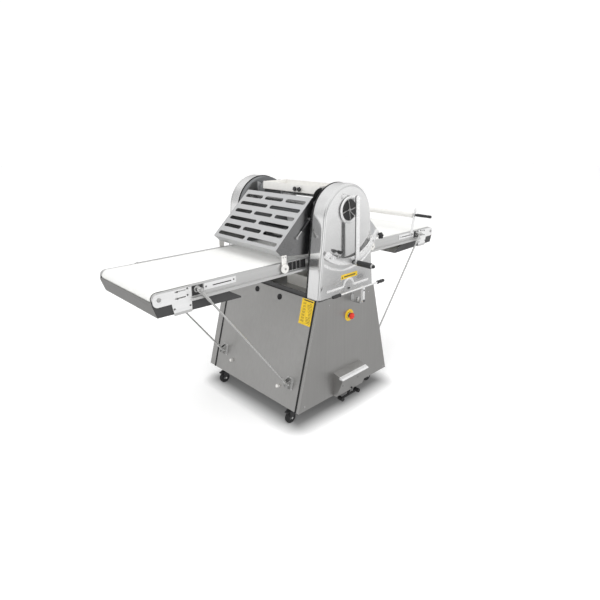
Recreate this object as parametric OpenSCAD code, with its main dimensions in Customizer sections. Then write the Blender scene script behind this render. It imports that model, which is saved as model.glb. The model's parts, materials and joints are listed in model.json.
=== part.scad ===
// Floor-standing dough sheeter: tapered base on casters, roller head with two folding belt tables.
// +X runs along the tables, -Y is the operator's side, +Z is up, origin on the floor at the centre.

/* [Base] */
// Width of the base at its bottom edge
base_bottom_w = 827; // [780:1:860]
// Width of the base at its top edge, where the head stands
base_top_w = 498; // [490:1:504]
// Height of the base's bottom edge above the floor
base_bottom_z = 105; // [100:1:112]
// Height of the base's top edge
base_top_z = 744; // [730:1:752]
// Depth of the base over both covers
base_depth = 866; // [862:1:880]

/* [Head] */
// Height of the top of the head
head_top_z = 1395; // [1385:1:1410]
// Depth of each head cover, seal to face
head_cover_depth = 102; // [95:1:103]
// Radius of the sheeting rollers
roller_r = 44; // [38:1:44]
// Gap between the sheeting rollers at rest
roller_gap = 17; // [17:1:19]

/* [Tables] */
// Height of the top of the belts
belt_top_z = 973; // [970:1:976]
// Distance from the centre to the outer roller of a table
table_reach = 1136; // [1110:5:1200]
// Half the width of a table over its rails
rail_half_w = 290; // [284:1:291]
// Width of a conveyor belt
belt_w = 530; // [500:5:532]

/* [Hidden] */
$fn = 64;
wall = 2;
fit = 0.05;
eps = 0.1;

// Base outline
base_half_d = base_depth / 2;
slope = (base_bottom_w - base_top_w) / 2 / (base_top_z - base_bottom_z);
lean = atan(slope);
function base_half(z) = base_bottom_w / 2 - slope * (z - base_bottom_z);
panel_half_d = 400;
seal_t = 10;
rear_extra = 32;

// Head outline: tapered sides meeting a round top
head_half = base_top_w / 2;
head_face_y = base_half_d - 1;
head_seal_y = head_face_y - head_cover_depth;
head_taper = 0.0963;
head_room = head_half - head_taper * (head_top_z - base_top_z);
head_r = head_room / (sqrt(1 + head_taper * head_taper) - head_taper);
head_arc_z = head_top_z - head_r;
frame_y = 318;
frame_t = 8;

// Rollers and the thickness adjuster
low_z = belt_top_z + 1 - roller_r;
high_z = low_z + 2 * roller_r + roller_gap;
shaft_r = 15;
hub_x = -12;
hub_z = 1245;
module_mm = 3;
pinion_teeth = 16;
pinion_r = module_mm * pinion_teeth / 2;
grip_reach = 309;

// Tables
belt_t = 2.5;
table_roller_r = 28;
table_axis_z = belt_top_z - belt_t - table_roller_r;
drive_x = 88;
fold_x = 195;
fold_z = 945;
rail_bottom_z = 903;
ledge_top_z = 916;
strut_top = [940, 951];
strut_foot = [400, 248];
strut_y = 324;
guard_axis = [140, 1280];
guard_wheel_r = 26;
guard_wheel_x = 390;
reel_foot = [862, 956];
reel_axis = [892, 1092];

// Casters
caster_x = 360;
caster_y = 335;
caster_trail = 28;
caster_wheel_r = 36;

// Drive in the base
motor_z = 260;
motor_pulley_r = 40;
roller_pulley_r = 62;
drive_y = 417;

// ---- Helpers ----

// Extrudes an outline drawn in x and z over a span of y
module slab(y0, y1) {
    translate([0, y1, 0])
        rotate([90, 0, 0])
            linear_extrude(y1 - y0)
                children();
}

// Round rod along y
module rod_y(x, z, y0, y1, r) {
    translate([x, y1, z])
        rotate([90, 0, 0])
            cylinder(h = y1 - y0, r = r);
}

// Round rod along x
module rod_x(x0, x1, y, z, r) {
    translate([x0, y, z])
        rotate([0, 90, 0])
            cylinder(h = x1 - x0, r = r);
}

// Box given by its low and high corners
module block(low, high) {
    translate(low)
        cube(high - low);
}

// Its children and their mirror images, front to rear
module both_y() {
    children();
    mirror([0, 1, 0])
        children();
}

// Its children and their mirror images, left to right
module both_x() {
    children();
    mirror([1, 0, 0])
        children();
}

// Outline of the base between two heights, drawn in by a margin
module base_outline(z0, z1, margin) {
    polygon([
        [-base_half(z0) + margin, z0],
        [base_half(z0) - margin, z0],
        [base_half(z1) - margin, z1],
        [-base_half(z1) + margin, z1]
    ]);
}

// Outline of the head from a bottom height, drawn in by a margin
module head_outline(z0, margin) {
    r = head_r - margin;
    tilt = atan(head_taper);
    foot = head_half - head_taper * (z0 - base_top_z) - margin / cos(tilt);
    polygon([
        [-foot, z0],
        [foot, z0],
        [r * cos(tilt), head_arc_z + r * sin(tilt)],
        [-r * cos(tilt), head_arc_z + r * sin(tilt)]
    ]);
    translate([0, head_arc_z])
        circle(r = r, $fn = 96);
}

// Points on an arc about a centre on x = 0
function arc_points(z, r, from, to) = [for (i = [0 : 48]) let (a = from + (to - from) * i / 48)
    [r * cos(a), z + r * sin(a)]];

// Outline of a loop round two circles, the second straight above the first
module loop_outline(r0, z0, r1, z1) {
    tilt = asin((r1 - r0) / (z1 - z0));
    polygon(concat(
        arc_points(z0, r0, 180 + tilt, 360 - tilt),
        arc_points(z1, r1, -tilt, 180 + tilt)
    ));
}

// Rectangle with round ends, centred, its length along x
module stadium(length, width) {
    square([length - width, width], center = true);
    for (end = [-1, 1])
        translate([end * (length - width) / 2, 0])
            circle(d = width, $fn = 24);
}

// ---- Base ----

// Welded tube frame with the motor shelf and the caster pads
module base_frame() {
    tube = 30;
    inset = 4;
    top_z = base_top_z - 10;
    color("dimgray") {
        both_y() both_x()
            slab(panel_half_d - inset - tube, panel_half_d - inset)
                polygon([
                    [base_half(base_bottom_z) - inset - tube, base_bottom_z],
                    [base_half(base_bottom_z) - inset, base_bottom_z],
                    [base_half(top_z) - inset, top_z],
                    [base_half(top_z) - inset - tube, top_z]
                ]);
        for (z = [base_bottom_z, top_z - tube]) {
            half = base_half(z + tube) - inset - 1;
            both_y()
                block([-half, panel_half_d - inset - tube, z], [half, panel_half_d - inset, z + tube]);
            both_x()
                block([half - tube, -panel_half_d + inset, z], [half, panel_half_d - inset, z + tube]);
        }
        block([-120, -panel_half_d + inset + 4, base_bottom_z + tube - 1],
            [120, panel_half_d - inset - 4, base_bottom_z + tube + 6]);
        both_y() both_x()
            block([caster_x - 45, caster_y - 45, base_bottom_z - 6],
                [caster_x + 38, caster_y + 45, base_bottom_z + 1]);
    }
}

// Sloping sheet panels on the table sides, each with two plugged holes
module side_panels() {
    color("silver")
        both_x()
            difference() {
                slab(-panel_half_d, panel_half_d)
                    polygon([
                        [base_half(base_bottom_z) - wall, base_bottom_z],
                        [base_half(base_bottom_z), base_bottom_z],
                        [base_half(base_top_z - 2), base_top_z - 2],
                        [base_half(base_top_z - 2) - wall, base_top_z - 2]
                    ]);
                for (side = [-1, 1])
                    plug_place(side)
                        cylinder(h = 20, r = plug_r, center = true);
            }
}

plug_r = 11;
plug_z = 700;
module plug_place(side) {
    translate([base_half(plug_z), side * 108, plug_z])
        rotate([0, 90 - lean, 0])
            children();
}

// Deep sheet cover on the front or the rear of the base, out to a face
module base_cover(face_y) {
    difference() {
        slab(-face_y, -panel_half_d - seal_t)
            base_outline(base_bottom_z, base_top_z - 1, 0);
        slab(-face_y + wall, -panel_half_d - seal_t + 1)
            base_outline(base_bottom_z - 1, base_top_z, wall);
    }
}

estop_x = 15;
estop_z = 596;
module front_cover() {
    color("silver")
        difference() {
            base_cover(base_half_d);
            rod_y(estop_x, estop_z, -base_half_d - 1, -base_half_d + wall + 1, 12);
        }
}

module rear_cover() {
    color("silver")
        difference() {
            mirror([0, 1, 0])
                base_cover(base_half_d + rear_extra);
            for (row = [0 : 6], x = [-80, 0, 80])
                translate([x, base_half_d + rear_extra, 190 + 16 * row])
                    rotate([90, 0, 0])
                        linear_extrude(3 * wall, center = true)
                            stadium(60, 6);
        }
}

// Black rubber: seams round the base and head covers, and the panel plugs
module seals() {
    color("black") {
        both_y() {
            slab(-panel_half_d - seal_t, -panel_half_d)
                difference() {
                    base_outline(base_bottom_z, base_top_z - 2, -3);
                    base_outline(base_bottom_z + 8, base_top_z - 10, 3);
                }
        }
        slab(-head_seal_y, -frame_y - frame_t)
            head_seal_outline();
        slab(frame_y + frame_t + rear_extra, head_seal_y + rear_extra)
            head_seal_outline();
        both_x()
            for (side = [-1, 1])
                plug_place(side) {
                    translate([0, 0, eps])
                        cylinder(h = 3, r = plug_r + 7);
                    translate([0, 0, -4])
                        cylinder(h = 5, r = plug_r - fit);
                }
    }
}

module head_seal_outline() {
    difference() {
        head_outline(base_top_z, -2);
        head_outline(base_top_z - 1, 9);
    }
}

// Open hooks that hold the feet of the struts, and the round bumpers beside them
hook_t = 4;
foot_pin_r = 6;
hook_angle = 36.4;
bumper_z = 200;
module strut_brackets() {
    low_z = strut_foot[1] - 34;
    top_z = strut_foot[1] + 34;
    color("gainsboro")
        both_x() both_y() {
            for (side = [-1, 1])
                slab(strut_y + side * 15 - hook_t / 2, strut_y + side * 15 + hook_t / 2)
                    difference() {
                        polygon([
                            [base_half(low_z) + eps, low_z],
                            [strut_foot[0] + 14, strut_foot[1] - 16],
                            [strut_foot[0] + 14, strut_foot[1] + 20],
                            [base_half(top_z) + eps, top_z]
                        ]);
                        translate(strut_foot)
                            circle(r = foot_pin_r + 1.2);
                        translate(strut_foot)
                            rotate(hook_angle)
                                translate([0, -foot_pin_r - 1])
                                    square([60, 2 * foot_pin_r + 2]);
                    }
            slab(strut_y - 26, strut_y + 26)
                polygon([
                    [base_half(low_z) + eps, low_z],
                    [base_half(low_z) + 3, low_z],
                    [base_half(top_z) + 3, top_z],
                    [base_half(top_z) + eps, top_z]
                ]);
            translate([base_half(bumper_z) + eps, 235, bumper_z])
                rotate([0, 90 - lean, 0])
                    cylinder(h = 16, r = 10);
        }
}

// Tray that closes the top of the base inside the head and catches crumbs
module deck_tray() {
    color("lightgray") {
        difference() {
            block([-head_half + 6, -frame_y, base_top_z - 10],
                [head_half - 6, frame_y, base_top_z + 28]);
            block([-head_half + 8, -frame_y + 3, base_top_z - 7],
                [head_half - 8, frame_y - 3, base_top_z + 29]);
        }
    }
}

// Loose crumb pan on the deck
module crumb_pan() {
    low = base_top_z - 7;
    color("white")
        difference() {
            block([-110, -208, low], [110, -14, low + 74]);
            block([-107, -205, low + 3], [107, -17, low + 75]);
        }
}

// ---- Head ----

block_w = 51;
bearing_r = 30;

// Round boss hole through a side frame
module frame_bore(x, z, r) {
    rod_y(x, z, frame_y - 1, frame_y + frame_t + 1, r);
}

// The two plates that carry the rollers, the tables and the guards, with their tie bars
module side_frames() {
    slot_low = high_z - block_w / 2 - roller_gap - 4;
    slot_high = high_z + block_w / 2 + 26;
    color("slategray") {
        both_y()
            difference() {
                slab(frame_y, frame_y + frame_t)
                    head_outline(base_top_z - 10, 6);
                block([-block_w / 2 - 0.5, frame_y - 1, slot_low],
                    [block_w / 2 + 0.5, frame_y + frame_t + 1, slot_high]);
                frame_bore(0, low_z, bearing_r + fit);
                frame_bore(hub_x, hub_z, shaft_r - 3 + fit);
                both_x() {
                    frame_bore(fold_x, fold_z, shaft_r - 3 + fit);
                    frame_bore(guard_axis[0], guard_axis[1], 8 + fit);
                }
            }
        both_x() {
            rod_y(30, 1190, -frame_y, frame_y, 9);
            rod_y(20, bin_low_z - 8, -frame_y, frame_y, 8);
        }
        rod_y(0, 836, -frame_y, frame_y, 10);
        slab(frame_y + frame_t - 1, frame_y + frame_t + rear_extra)
            difference() {
                head_outline(base_top_z + 1, 4);
                head_outline(base_top_z, 8);
            }
        difference() {
            slab(228, 290)
                hood_outline(72);
            slab(230, 288)
                hood_outline(70);
        }
    }
}

// Half-round hood behind the bin, open below
module hood_outline(r) {
    translate([-15, 0])
        polygon(concat([[-r, 1190 + r], [r, 1190 + r]], arc_points(1292, r, 0, 180)));
}

// Deep-drawn cover over the gearing at one side of the head
module head_cover() {
    difference() {
        slab(-head_face_y, -head_seal_y)
            head_outline(base_top_z, 0);
        slab(-head_face_y + wall, -head_seal_y + 1)
            head_outline(base_top_z - 1, wall);
    }
}

bead_r = 5;
module front_head_cover() {
    bump_x = 6;
    bump_z = 786;
    color("whitesmoke") {
        difference() {
            head_cover();
            rod_y(hub_x, hub_z, -head_face_y - 1, -head_face_y + wall + 1, 24);
        }
        for (side = [-1, 1])
            rod_x(min(side * 40, side * 188) + bump_x, max(side * 40, side * 188) + bump_x,
                -head_face_y, bump_z, bead_r);
        translate([bump_x, -head_face_y, bump_z])
            rotate([90, 0, 0])
                rotate_extrude(angle = 180)
                    translate([40, 0])
                        circle(r = bead_r, $fn = 24);
        rod_y(bump_x, bump_z - 14, -head_face_y - 6, -head_face_y, 12);
        translate([hub_x, -head_face_y, hub_z])
            rotate([90, 0, 0])
                rotate([0, 0, 236])
                    rotate_extrude(angle = 74)
                        translate([352, 0])
                            circle(r = bead_r, $fn = 24);
    }
}

module rear_head_cover() {
    color("whitesmoke")
        translate([0, rear_extra, 0])
            mirror([0, 1, 0])
                head_cover();
}

// Flanged bearings of the lower roller
module roller_bearings() {
    color("darkgray")
        both_y()
            difference() {
                union() {
                    rod_y(0, low_z, frame_y, frame_y + frame_t + 12, bearing_r);
                    rod_y(0, low_z, frame_y + frame_t, frame_y + frame_t + 6, bearing_r + 14);
                }
                rod_y(0, low_z, frame_y - 1, frame_y + frame_t + 20, shaft_r + fit);
            }
}

// Chrome-faced sheeting roller on its shaft
module sheeting_roller(z, y0, y1) {
    rod_y(0, z, -280, 280, roller_r);
    rod_y(0, z, y0, y1, shaft_r);
}

module upper_roller() {
    color("gainsboro")
        sheeting_roller(high_z, -frame_y - frame_t - 6, frame_y + frame_t + 6);
}

module lower_roller() {
    color("gainsboro") {
        sheeting_roller(low_z, -frame_y - frame_t - 14, drive_y + belt_half + 5);
        grooved_pulley(low_z, roller_pulley_r);
    }
}

// Flat-groove pulley at the drive plane, its rims either side of the belt
belt_half = 6;
module grooved_pulley(z, r) {
    rod_y(0, z, drive_y - belt_half - 5, drive_y + belt_half + 5, r);
    for (side = [-1, 1])
        rod_y(0, z, drive_y + side * (belt_half + 3) - 2, drive_y + side * (belt_half + 3) + 2, r + 8);
}

module motor_pulley() {
    color("darkgray") {
        grooved_pulley(motor_z, motor_pulley_r);
        rod_y(0, motor_z, 270, drive_y + 10, 12);
    }
}

// Belt from the motor up to the lower roller
module drive_belt() {
    gap = 0.3;
    color("black")
        slab(drive_y - belt_half, drive_y + belt_half)
            difference() {
                loop_outline(motor_pulley_r + gap + 6, motor_z, roller_pulley_r + gap + 6, low_z);
                loop_outline(motor_pulley_r + gap, motor_z, roller_pulley_r + gap, low_z);
            }
}

// Finned motor on its foot, standing on the shelf of the base frame
module drive_motor() {
    shelf_z = base_bottom_z + 36;
    fin_count = 24;
    color("steelblue")
        difference() {
            union() {
                rod_y(0, motor_z, 40, 290, 72);
                for (i = [0 : fin_count - 1])
                    translate([0, 165, motor_z])
                        rotate([0, i * 360 / fin_count, 0])
                            translate([0, 0, 40])
                                translate([-1.5, -90, 0])
                                    cube([3, 180, 42]);
                rod_y(0, motor_z, 10, 50, 80);
                block([-60, 70, shelf_z], [60, 250, shelf_z + 14]);
                block([-30, 90, shelf_z + 10], [30, 230, motor_z - 60]);
                block([60, 120, motor_z - 40], [105, 210, motor_z + 40]);
            }
            rod_y(0, motor_z, 262, 300, 12 + fit);
        }
}

// Scraper blade and holder under the lower roller
module lower_scraper() {
    color("lightgray")
        for (side = [-1, 1])
            slab(-frame_y, frame_y)
                polygon([
                    [side * 16, low_z - roller_r - 1],
                    [side * 22, low_z - roller_r - 1],
                    [side * 46, low_z - roller_r - 26],
                    [side * 46, low_z - roller_r - 32],
                    [side * 34, low_z - roller_r - 32]
                ]);
}

// Bearing blocks of the upper roller with their racks, the yoke between them and its scraper
module roller_carriage() {
    half = block_w / 2;
    rack_x = hub_x + pinion_r;
    yoke_z = high_z + roller_r + 14;
    color("lightsteelblue") {
        both_y() {
            difference() {
                union() {
                    block([-half, 302, high_z - half], [half, frame_y - 1, yoke_z + 10]);
                    block([-half, 302, high_z - half], [half, frame_y + frame_t + 2, high_z + half]);
                    block([-half - 12, frame_y + frame_t + 0.5, high_z - half],
                        [half + 12, frame_y + frame_t + 10, high_z + half + 14]);
                }
                rod_y(0, high_z, 301, frame_y + frame_t + 11, shaft_r + fit);
            }
            rack(rack_x, frame_y + frame_t + 1, frame_y + frame_t + 26);
        }
        block([-half, -302, yoke_z], [half, 302, yoke_z + 10]);
        slab(-280, 280)
            polygon([[-4, yoke_z + 1], [-10, high_z + roller_r + 1],
                [-7, high_z + roller_r + 1], [4, yoke_z + 1]]);
    }
}

// Toothed bar that the adjusting pinion raises, its teeth toward the pinion
module rack(pitch_x, y0, y1) {
    pitch = PI * module_mm;
    tip = pitch_x - 0.8 * module_mm;
    root = pitch_x + 1.15 * module_mm;
    half_pitch_w = pitch / 4 - 0.12;
    spread = tan(20);
    block([root, y0, high_z + 20], [root + 13, y1, hub_z + 62]);
    for (i = [-4 : 4])
        slab(y0, y1)
            polygon([
                [tip, hub_z + i * pitch - half_pitch_w + spread * 0.8 * module_mm],
                [tip, hub_z + i * pitch + half_pitch_w - spread * 0.8 * module_mm],
                [root + 0.1, hub_z + i * pitch + half_pitch_w + spread * 1.15 * module_mm],
                [root + 0.1, hub_z + i * pitch - half_pitch_w - spread * 1.15 * module_mm]
            ]);
}

// Involute tooth outline: a point on the right flank at radius r, then a whole tooth about angle 0
function involute_angle(r) = let (base = pinion_r * cos(20)) r <= base ? 0 :
    sqrt(r * r / (base * base) - 1) * 180 / PI - acos(base / r);
function flank_half(r) = 90 / pinion_teeth - 0.12 / pinion_r * 180 / PI
    + involute_angle(pinion_r) - involute_angle(r);
module pinion_outline() {
    root = pinion_r - 1.15 * module_mm;
    tip = pinion_r + 0.8 * module_mm;
    steps = 6;
    radii = [for (i = [0 : steps]) root + (tip - root) * i / steps];
    circle(r = root + 0.05);
    for (tooth = [0 : pinion_teeth - 1])
        rotate((tooth + 0.5) * 360 / pinion_teeth)
            polygon(concat(
                [[root - 1, -1.5], [root - 1, 1.5]],
                [for (r = radii) [r * cos(flank_half(r)), r * sin(flank_half(r))]],
                [for (i = [steps : -1 : 0])
                    [radii[i] * cos(flank_half(radii[i])), -radii[i] * sin(flank_half(radii[i]))]]
            ));
}

// Shaft of the thickness lever with a pinion at each side frame
module adjusting_shaft() {
    color("lightsteelblue") {
        rod_y(hub_x, hub_z, -head_face_y - 8, frame_y + frame_t + 30, shaft_r - 3);
        both_y()
            translate([hub_x, 0, hub_z])
                slab(frame_y + frame_t + 14, frame_y + frame_t + 24)
                    pinion_outline();
    }
}

// Ring-shaped hub with a spoked, sunk centre, and the arm down to the grip
arm_y0 = -494;
arm_y1 = -479;
grip_x = 12;
grip_z = hub_z - grip_reach;
module lever() {
    ring_y0 = -head_face_y - 14;
    ring_y1 = -head_face_y - 4;
    color("white") {
        difference() {
            rod_y(hub_x, hub_z, ring_y0, ring_y1, 78);
            rod_y(hub_x, hub_z, ring_y0 - 1, ring_y1 - 4, 61);
            rod_y(hub_x, hub_z, ring_y1 - 5, ring_y1 + 1, shaft_r - 3);
        }
        difference() {
            for (turn = [0 : 3])
                translate([hub_x, ring_y1 - 5, hub_z])
                    rotate([0, turn * 45, 0])
                        cube([124, 5, 5], center = true);
            rod_y(hub_x, hub_z, ring_y0 - 1, ring_y1 + 1, shaft_r - 3);
        }
        hull() {
            rod_y(4, hub_z + 72, arm_y0, arm_y1, 15);
            rod_y(grip_x, grip_z, arm_y0, arm_y1, 15);
        }
        hull() {
            rod_y(4, hub_z + 72, arm_y0, arm_y1, 15);
            rod_y(14, hub_z + 70, ring_y0, ring_y0 + 10, 14);
        }
    }
}

// Grip sleeve with its latch pin toward the quadrant and an end cap
module lever_grip() {
    color("black") {
        rod_y(grip_x, grip_z, -602, arm_y0, 17);
        rod_y(grip_x, grip_z, arm_y1, -458, 14);
        rod_y(grip_x, grip_z, -614, -602, 10);
    }
}

// Curved stop plate behind the grip, with its rim and standoffs
quadrant_in = 280;
quadrant_out = 322;
quadrant_low = -42;
quadrant_high = 60;
module quadrant_plate() {
    color("white") {
        translate([hub_x, -446, hub_z])
            rotate([90, 0, 0])
                rotate([0, 0, quadrant_low - 90])
                    rotate_extrude(angle = quadrant_high - quadrant_low) {
                        translate([quadrant_in, 0])
                            square([quadrant_out - quadrant_in, 5]);
                        translate([quadrant_out - 4, -11])
                            square([4, 11]);
                    }
        for (angle = [quadrant_low + 8, 8, quadrant_high - 14])
            rod_y(hub_x + 304 * sin(angle), hub_z - 304 * cos(angle), -447, -head_face_y, 7);
    }
}

// Lobed knob on a stud that points along +x
module star_knob(stud, r) {
    depth = 1.2 * r;
    rotate([0, 90, 0]) {
        cylinder(h = stud + 1, r = 4);
        translate([0, 0, stud]) {
            cylinder(h = depth, r = r);
            for (lobe = [0 : 5])
                rotate(lobe * 60)
                    translate([0.93 * r, 0, 0.25 * r])
                        cylinder(h = 0.95 * r, r = r / 3);
        }
    }
}

// The two limit knobs of the quadrant and the two knobs of the bin
module star_knobs() {
    color("black") {
        translate([hub_x + 322 * sin(54) - 1, -455, hub_z - 322 * cos(54)])
            star_knob(12, 15);
        translate([hub_x - 283 * sin(22), -455, hub_z - 283 * cos(22)])
            rotate([0, -90 + 22, 0])
                star_knob(24, 15);
        for (y = [-130, -92])
            translate([-bin_half - 1.2, y, 1346])
                rotate([0, 180, 0])
                    star_knob(3, 10);
    }
}

// Folded sheet bin that closes the top of the head and holds flour
bin_low_z = 1326;
bin_half = 101;
bin_front_y = -286;
bin_rear_y = 221;
module flour_bin() {
    top = 1372;
    color("ivory")
        difference() {
            slab(bin_front_y, bin_rear_y)
                polygon([
                    [-bin_half - 2, bin_low_z],
                    [-bin_half + 1, top],
                    [bin_half - 1, top],
                    [bin_half + 2, bin_low_z]
                ]);
            slab(bin_front_y + wall, bin_rear_y - wall)
                polygon([
                    [-bin_half, bin_low_z + wall],
                    [-bin_half + 3, top + 1],
                    [bin_half - 3, top + 1],
                    [bin_half, bin_low_z + wall]
                ]);
        }
}

// ---- Controls ----

// Yellow plates: the instruction plate, the notice on the head and the disc of the stop button
module label_plates() {
    panel_x = -base_half(700);
    color("gold") {
        difference() {
            rod_y(estop_x, estop_z, -base_half_d - 2, -base_half_d, 37);
            rod_y(estop_x, estop_z, -base_half_d - 3, -base_half_d + 1, 12);
        }
        translate([10, -head_face_y, 849])
            rotate([90, 0, 0])
                linear_extrude(0.8)
                    square([146, 28], center = true);
        translate([panel_x, 0, 700])
            rotate([0, lean, 0])
                translate([-1 - eps, -398, -109])
                    cube([1, 96, 150]);
    }
}

// Stop button with its collar and stem
module estop_button() {
    color("red") {
        rod_y(estop_x, estop_z, -base_half_d - 34, -base_half_d - 18, 20);
        rod_y(estop_x, estop_z, -base_half_d - 20, -base_half_d + 24, 11.9);
    }
}

// Channel that carries the belt-direction lever
joy_x = 38;
joy_z = 705;
joy_rod_z = 787;
joy_y = -515;
module joystick_bracket() {
    color("gainsboro") {
        difference() {
            for (y = [-506, -480])
                block([joy_x - 14, y, joy_z - 17], [joy_x + 14, y + 4, joy_z + 16]);
            rod_y(joy_x, joy_z, -520, -470, 6 + fit);
        }
        block([joy_x - 14, -506, joy_z - 19], [joy_x + 14, -base_half_d, joy_z - 15]);
        block([joy_x - 14, -base_half_d - 4, joy_z - 19], [joy_x + 14, -base_half_d, joy_z + 30]);
    }
}

// Rocking bar with a grip at each end, on its pin in the bracket
module joystick() {
    color("silver") {
        rod_y(joy_x, joy_z, -524, -472, 6);
        rod_y(joy_x, joy_z, -500, -478 - 6, 11);
        block([joy_x - 8, -524, joy_z - 8], [joy_x + 8, -508, joy_rod_z]);
        rod_x(-190, 204, joy_y, joy_rod_z, 5);
    }
    color("black")
        for (end = [-228, 178])
            rod_x(end, end + 64, joy_y, joy_rod_z, 11);
}

// Wedge cover over the foot pedal, its front face leaning back toward the floor
pedal_x = [-118, 130];
pedal_pin = [13, 122];
pedal_y = -446;
module pedal_cover() {
    color("silver")
        difference() {
            pedal_hood(pedal_x[0], pedal_x[1], [
                [-base_half_d, base_bottom_z + 1],
                [-base_half_d, 257],
                [-498, 239],
                [-508, 231],
                [-460, base_bottom_z + 1]
            ]);
            pedal_hood(pedal_x[0] + wall, pedal_x[1] - wall, [
                [-base_half_d - wall, base_bottom_z - 2],
                [-base_half_d - wall, 254.2],
                [-497, 236.6],
                [-505.2, 230],
                [-456.8, base_bottom_z - 2]
            ]);
            rod_y(pedal_pin[0], pedal_pin[1], -475, -452, 6 + fit);
            rod_y(pedal_pin[0], pedal_pin[1], -base_half_d - wall - 1, -base_half_d + 1, 6 + fit);
        }
}

// Extrudes an outline drawn in y and z over a span of x
module pedal_hood(x0, x1, outline) {
    translate([x0, 0, 0])
        rotate([90, 0, 90])
            linear_extrude(x1 - x0)
                polygon(outline);
}

// Rocking foot bar with a pad at each end, on a pin across the pedal cover
module pedal() {
    color("dimgray") {
        rod_y(pedal_pin[0], pedal_pin[1], -472, -base_half_d - 0.2, 6);
        block([5, pedal_y - 6, 66], [21, pedal_y + 6, 128]);
        rod_x(-60, 92, pedal_y, 66, 7);
        rod_y(-60, 66, pedal_y - 18, pedal_y + 18, 13);
        rod_y(92, 66, pedal_y - 18, pedal_y + 18, 13);
    }
}

// Screws that hold the two base covers
module cover_screws() {
    color("darkslategray")
        for (face = [-base_half_d - 2, base_half_d + rear_extra])
            for (spot = [[-168, 704], [198, 702], [-366, 133], [385, 120]])
                rod_y(spot[0], spot[1], face, face + 2, 5);
}

// ---- Casters ----

// Swivelling fork; its wheel trails toward -x
module caster_fork(x, y) {
    pad_z = base_bottom_z - 6;
    color("black")
        translate([x, y, 0]) {
            translate([0, 0, pad_z - 12])
                cylinder(h = 12 - eps, r = 26);
            translate([0, 0, pad_z - 17])
                cylinder(h = 6, r = 20);
            block([-44, -17, caster_wheel_r * 2 + 4], [16, 17, pad_z - 16]);
            for (side = [-1, 1])
                hull() {
                    rod_y(-caster_trail, caster_wheel_r, side * 15.5 - 1.5, side * 15.5 + 1.5, 9);
                    block([-44, side * 15.5 - 1.5, 76], [16, side * 15.5 + 1.5, 80]);
                }
            rod_y(-caster_trail, caster_wheel_r, -19, 19, 5);
            block([-62, -14, 76], [-40, 14, 81]);
        }
}

module caster_wheel(x, y) {
    color("dimgray")
        translate([x, y, 0])
            difference() {
                rod_y(-caster_trail, caster_wheel_r, -12, 12, caster_wheel_r);
                rod_y(-caster_trail, caster_wheel_r, -13, 13, 5 + fit);
            }
}

module caster_fork_fl() { caster_fork(-caster_x, -caster_y); }
module caster_fork_fr() { caster_fork(caster_x, -caster_y); }
module caster_fork_rl() { caster_fork(-caster_x, caster_y); }
module caster_fork_rr() { caster_fork(caster_x, caster_y); }
module caster_wheel_fl() { caster_wheel(-caster_x, -caster_y); }
module caster_wheel_fr() { caster_wheel(caster_x, -caster_y); }
module caster_wheel_rl() { caster_wheel(-caster_x, caster_y); }
module caster_wheel_rr() { caster_wheel(caster_x, caster_y); }

// ---- Tables, drawn on the +x side ----

rail_screws = [[1045, 960], [1045, 927], [992, 966], [992, 934],
    [1062, 880], [980, 880], [890, 952], [728, 954]];

// Side rails with their ledges, end plates, cross tubes, sliding bed and trim
module table_frame() {
    rail_in = 80;
    rail_out = 975;
    web = 3;
    flange_in = belt_w / 2 + 6;
    nose_x = table_reach + 30;
    bed_z = belt_top_z - belt_t - 1;
    color("gainsboro") {
        both_y() {
            difference() {
                union() {
                    block([rail_in, rail_half_w - web, rail_bottom_z], [rail_out, rail_half_w, belt_top_z]);
                    slab(rail_half_w - web, rail_half_w + 2)
                        end_plate_outline(rail_out - 5, nose_x);
                    slab(flange_in, rail_half_w - web + 0.5)
                        end_filler_outline(rail_out - 5 - table_reach);
                    rod_y(fold_x, fold_z, flange_in + 4, rail_half_w + 4, 20);
                }
                rod_y(table_reach, table_axis_z, flange_in, rail_half_w + 9, 8 + fit);
                rod_y(drive_x, table_axis_z, flange_in, rail_half_w + 9, 10 + fit);
                block([1000, rail_half_w - web - 1, 958], [1056, rail_half_w + 3, 963]);
                block([1000, rail_half_w - web - 1, 925], [1056, rail_half_w + 3, 930]);
            }
            block([rail_in, flange_in, belt_top_z - web], [rail_out, rail_half_w, belt_top_z]);
            block([rail_in + 30, rail_half_w, rail_bottom_z], [rail_out, rail_half_w + 18, ledge_top_z]);
            rod_y(fold_x, fold_z, rail_half_w, frame_y + frame_t - 1, shaft_r - 3);
            rod_y(strut_top[0], strut_top[1], rail_half_w, strut_y + 14, 7);
            block([714, rail_half_w, 936], [902, rail_half_w + 3.5, 969]);
            for (spot = rail_screws)
                rod_y(spot[0], spot[1], rail_half_w + 1, rail_half_w + 3.9, 5);
        }
        for (x = [250, 600, 930])
            block([x - 6, -rail_half_w + web, 925], [x + 6, rail_half_w - web, bed_z - 1]);
        block([rail_in + 40, -belt_w / 2 - 4, bed_z - wall], [table_reach - 36, belt_w / 2 + 4, bed_z]);
    }
    color("black")
        both_y()
            for (i = [0 : 8])
                block([fold_x + 28 + 15 * i, rail_half_w, 922], [fold_x + 38 + 15 * i, rail_half_w + 5, 968]);
}

// Strip between the belt's edge and an end plate, round the outer roller
module end_filler_outline(start) {
    translate([table_reach, 0])
        polygon(concat(
            [[start, 933], [start, table_axis_z + table_roller_r]],
            arc_points(table_axis_z, table_roller_r, 90, -20)
        ));
}

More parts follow.
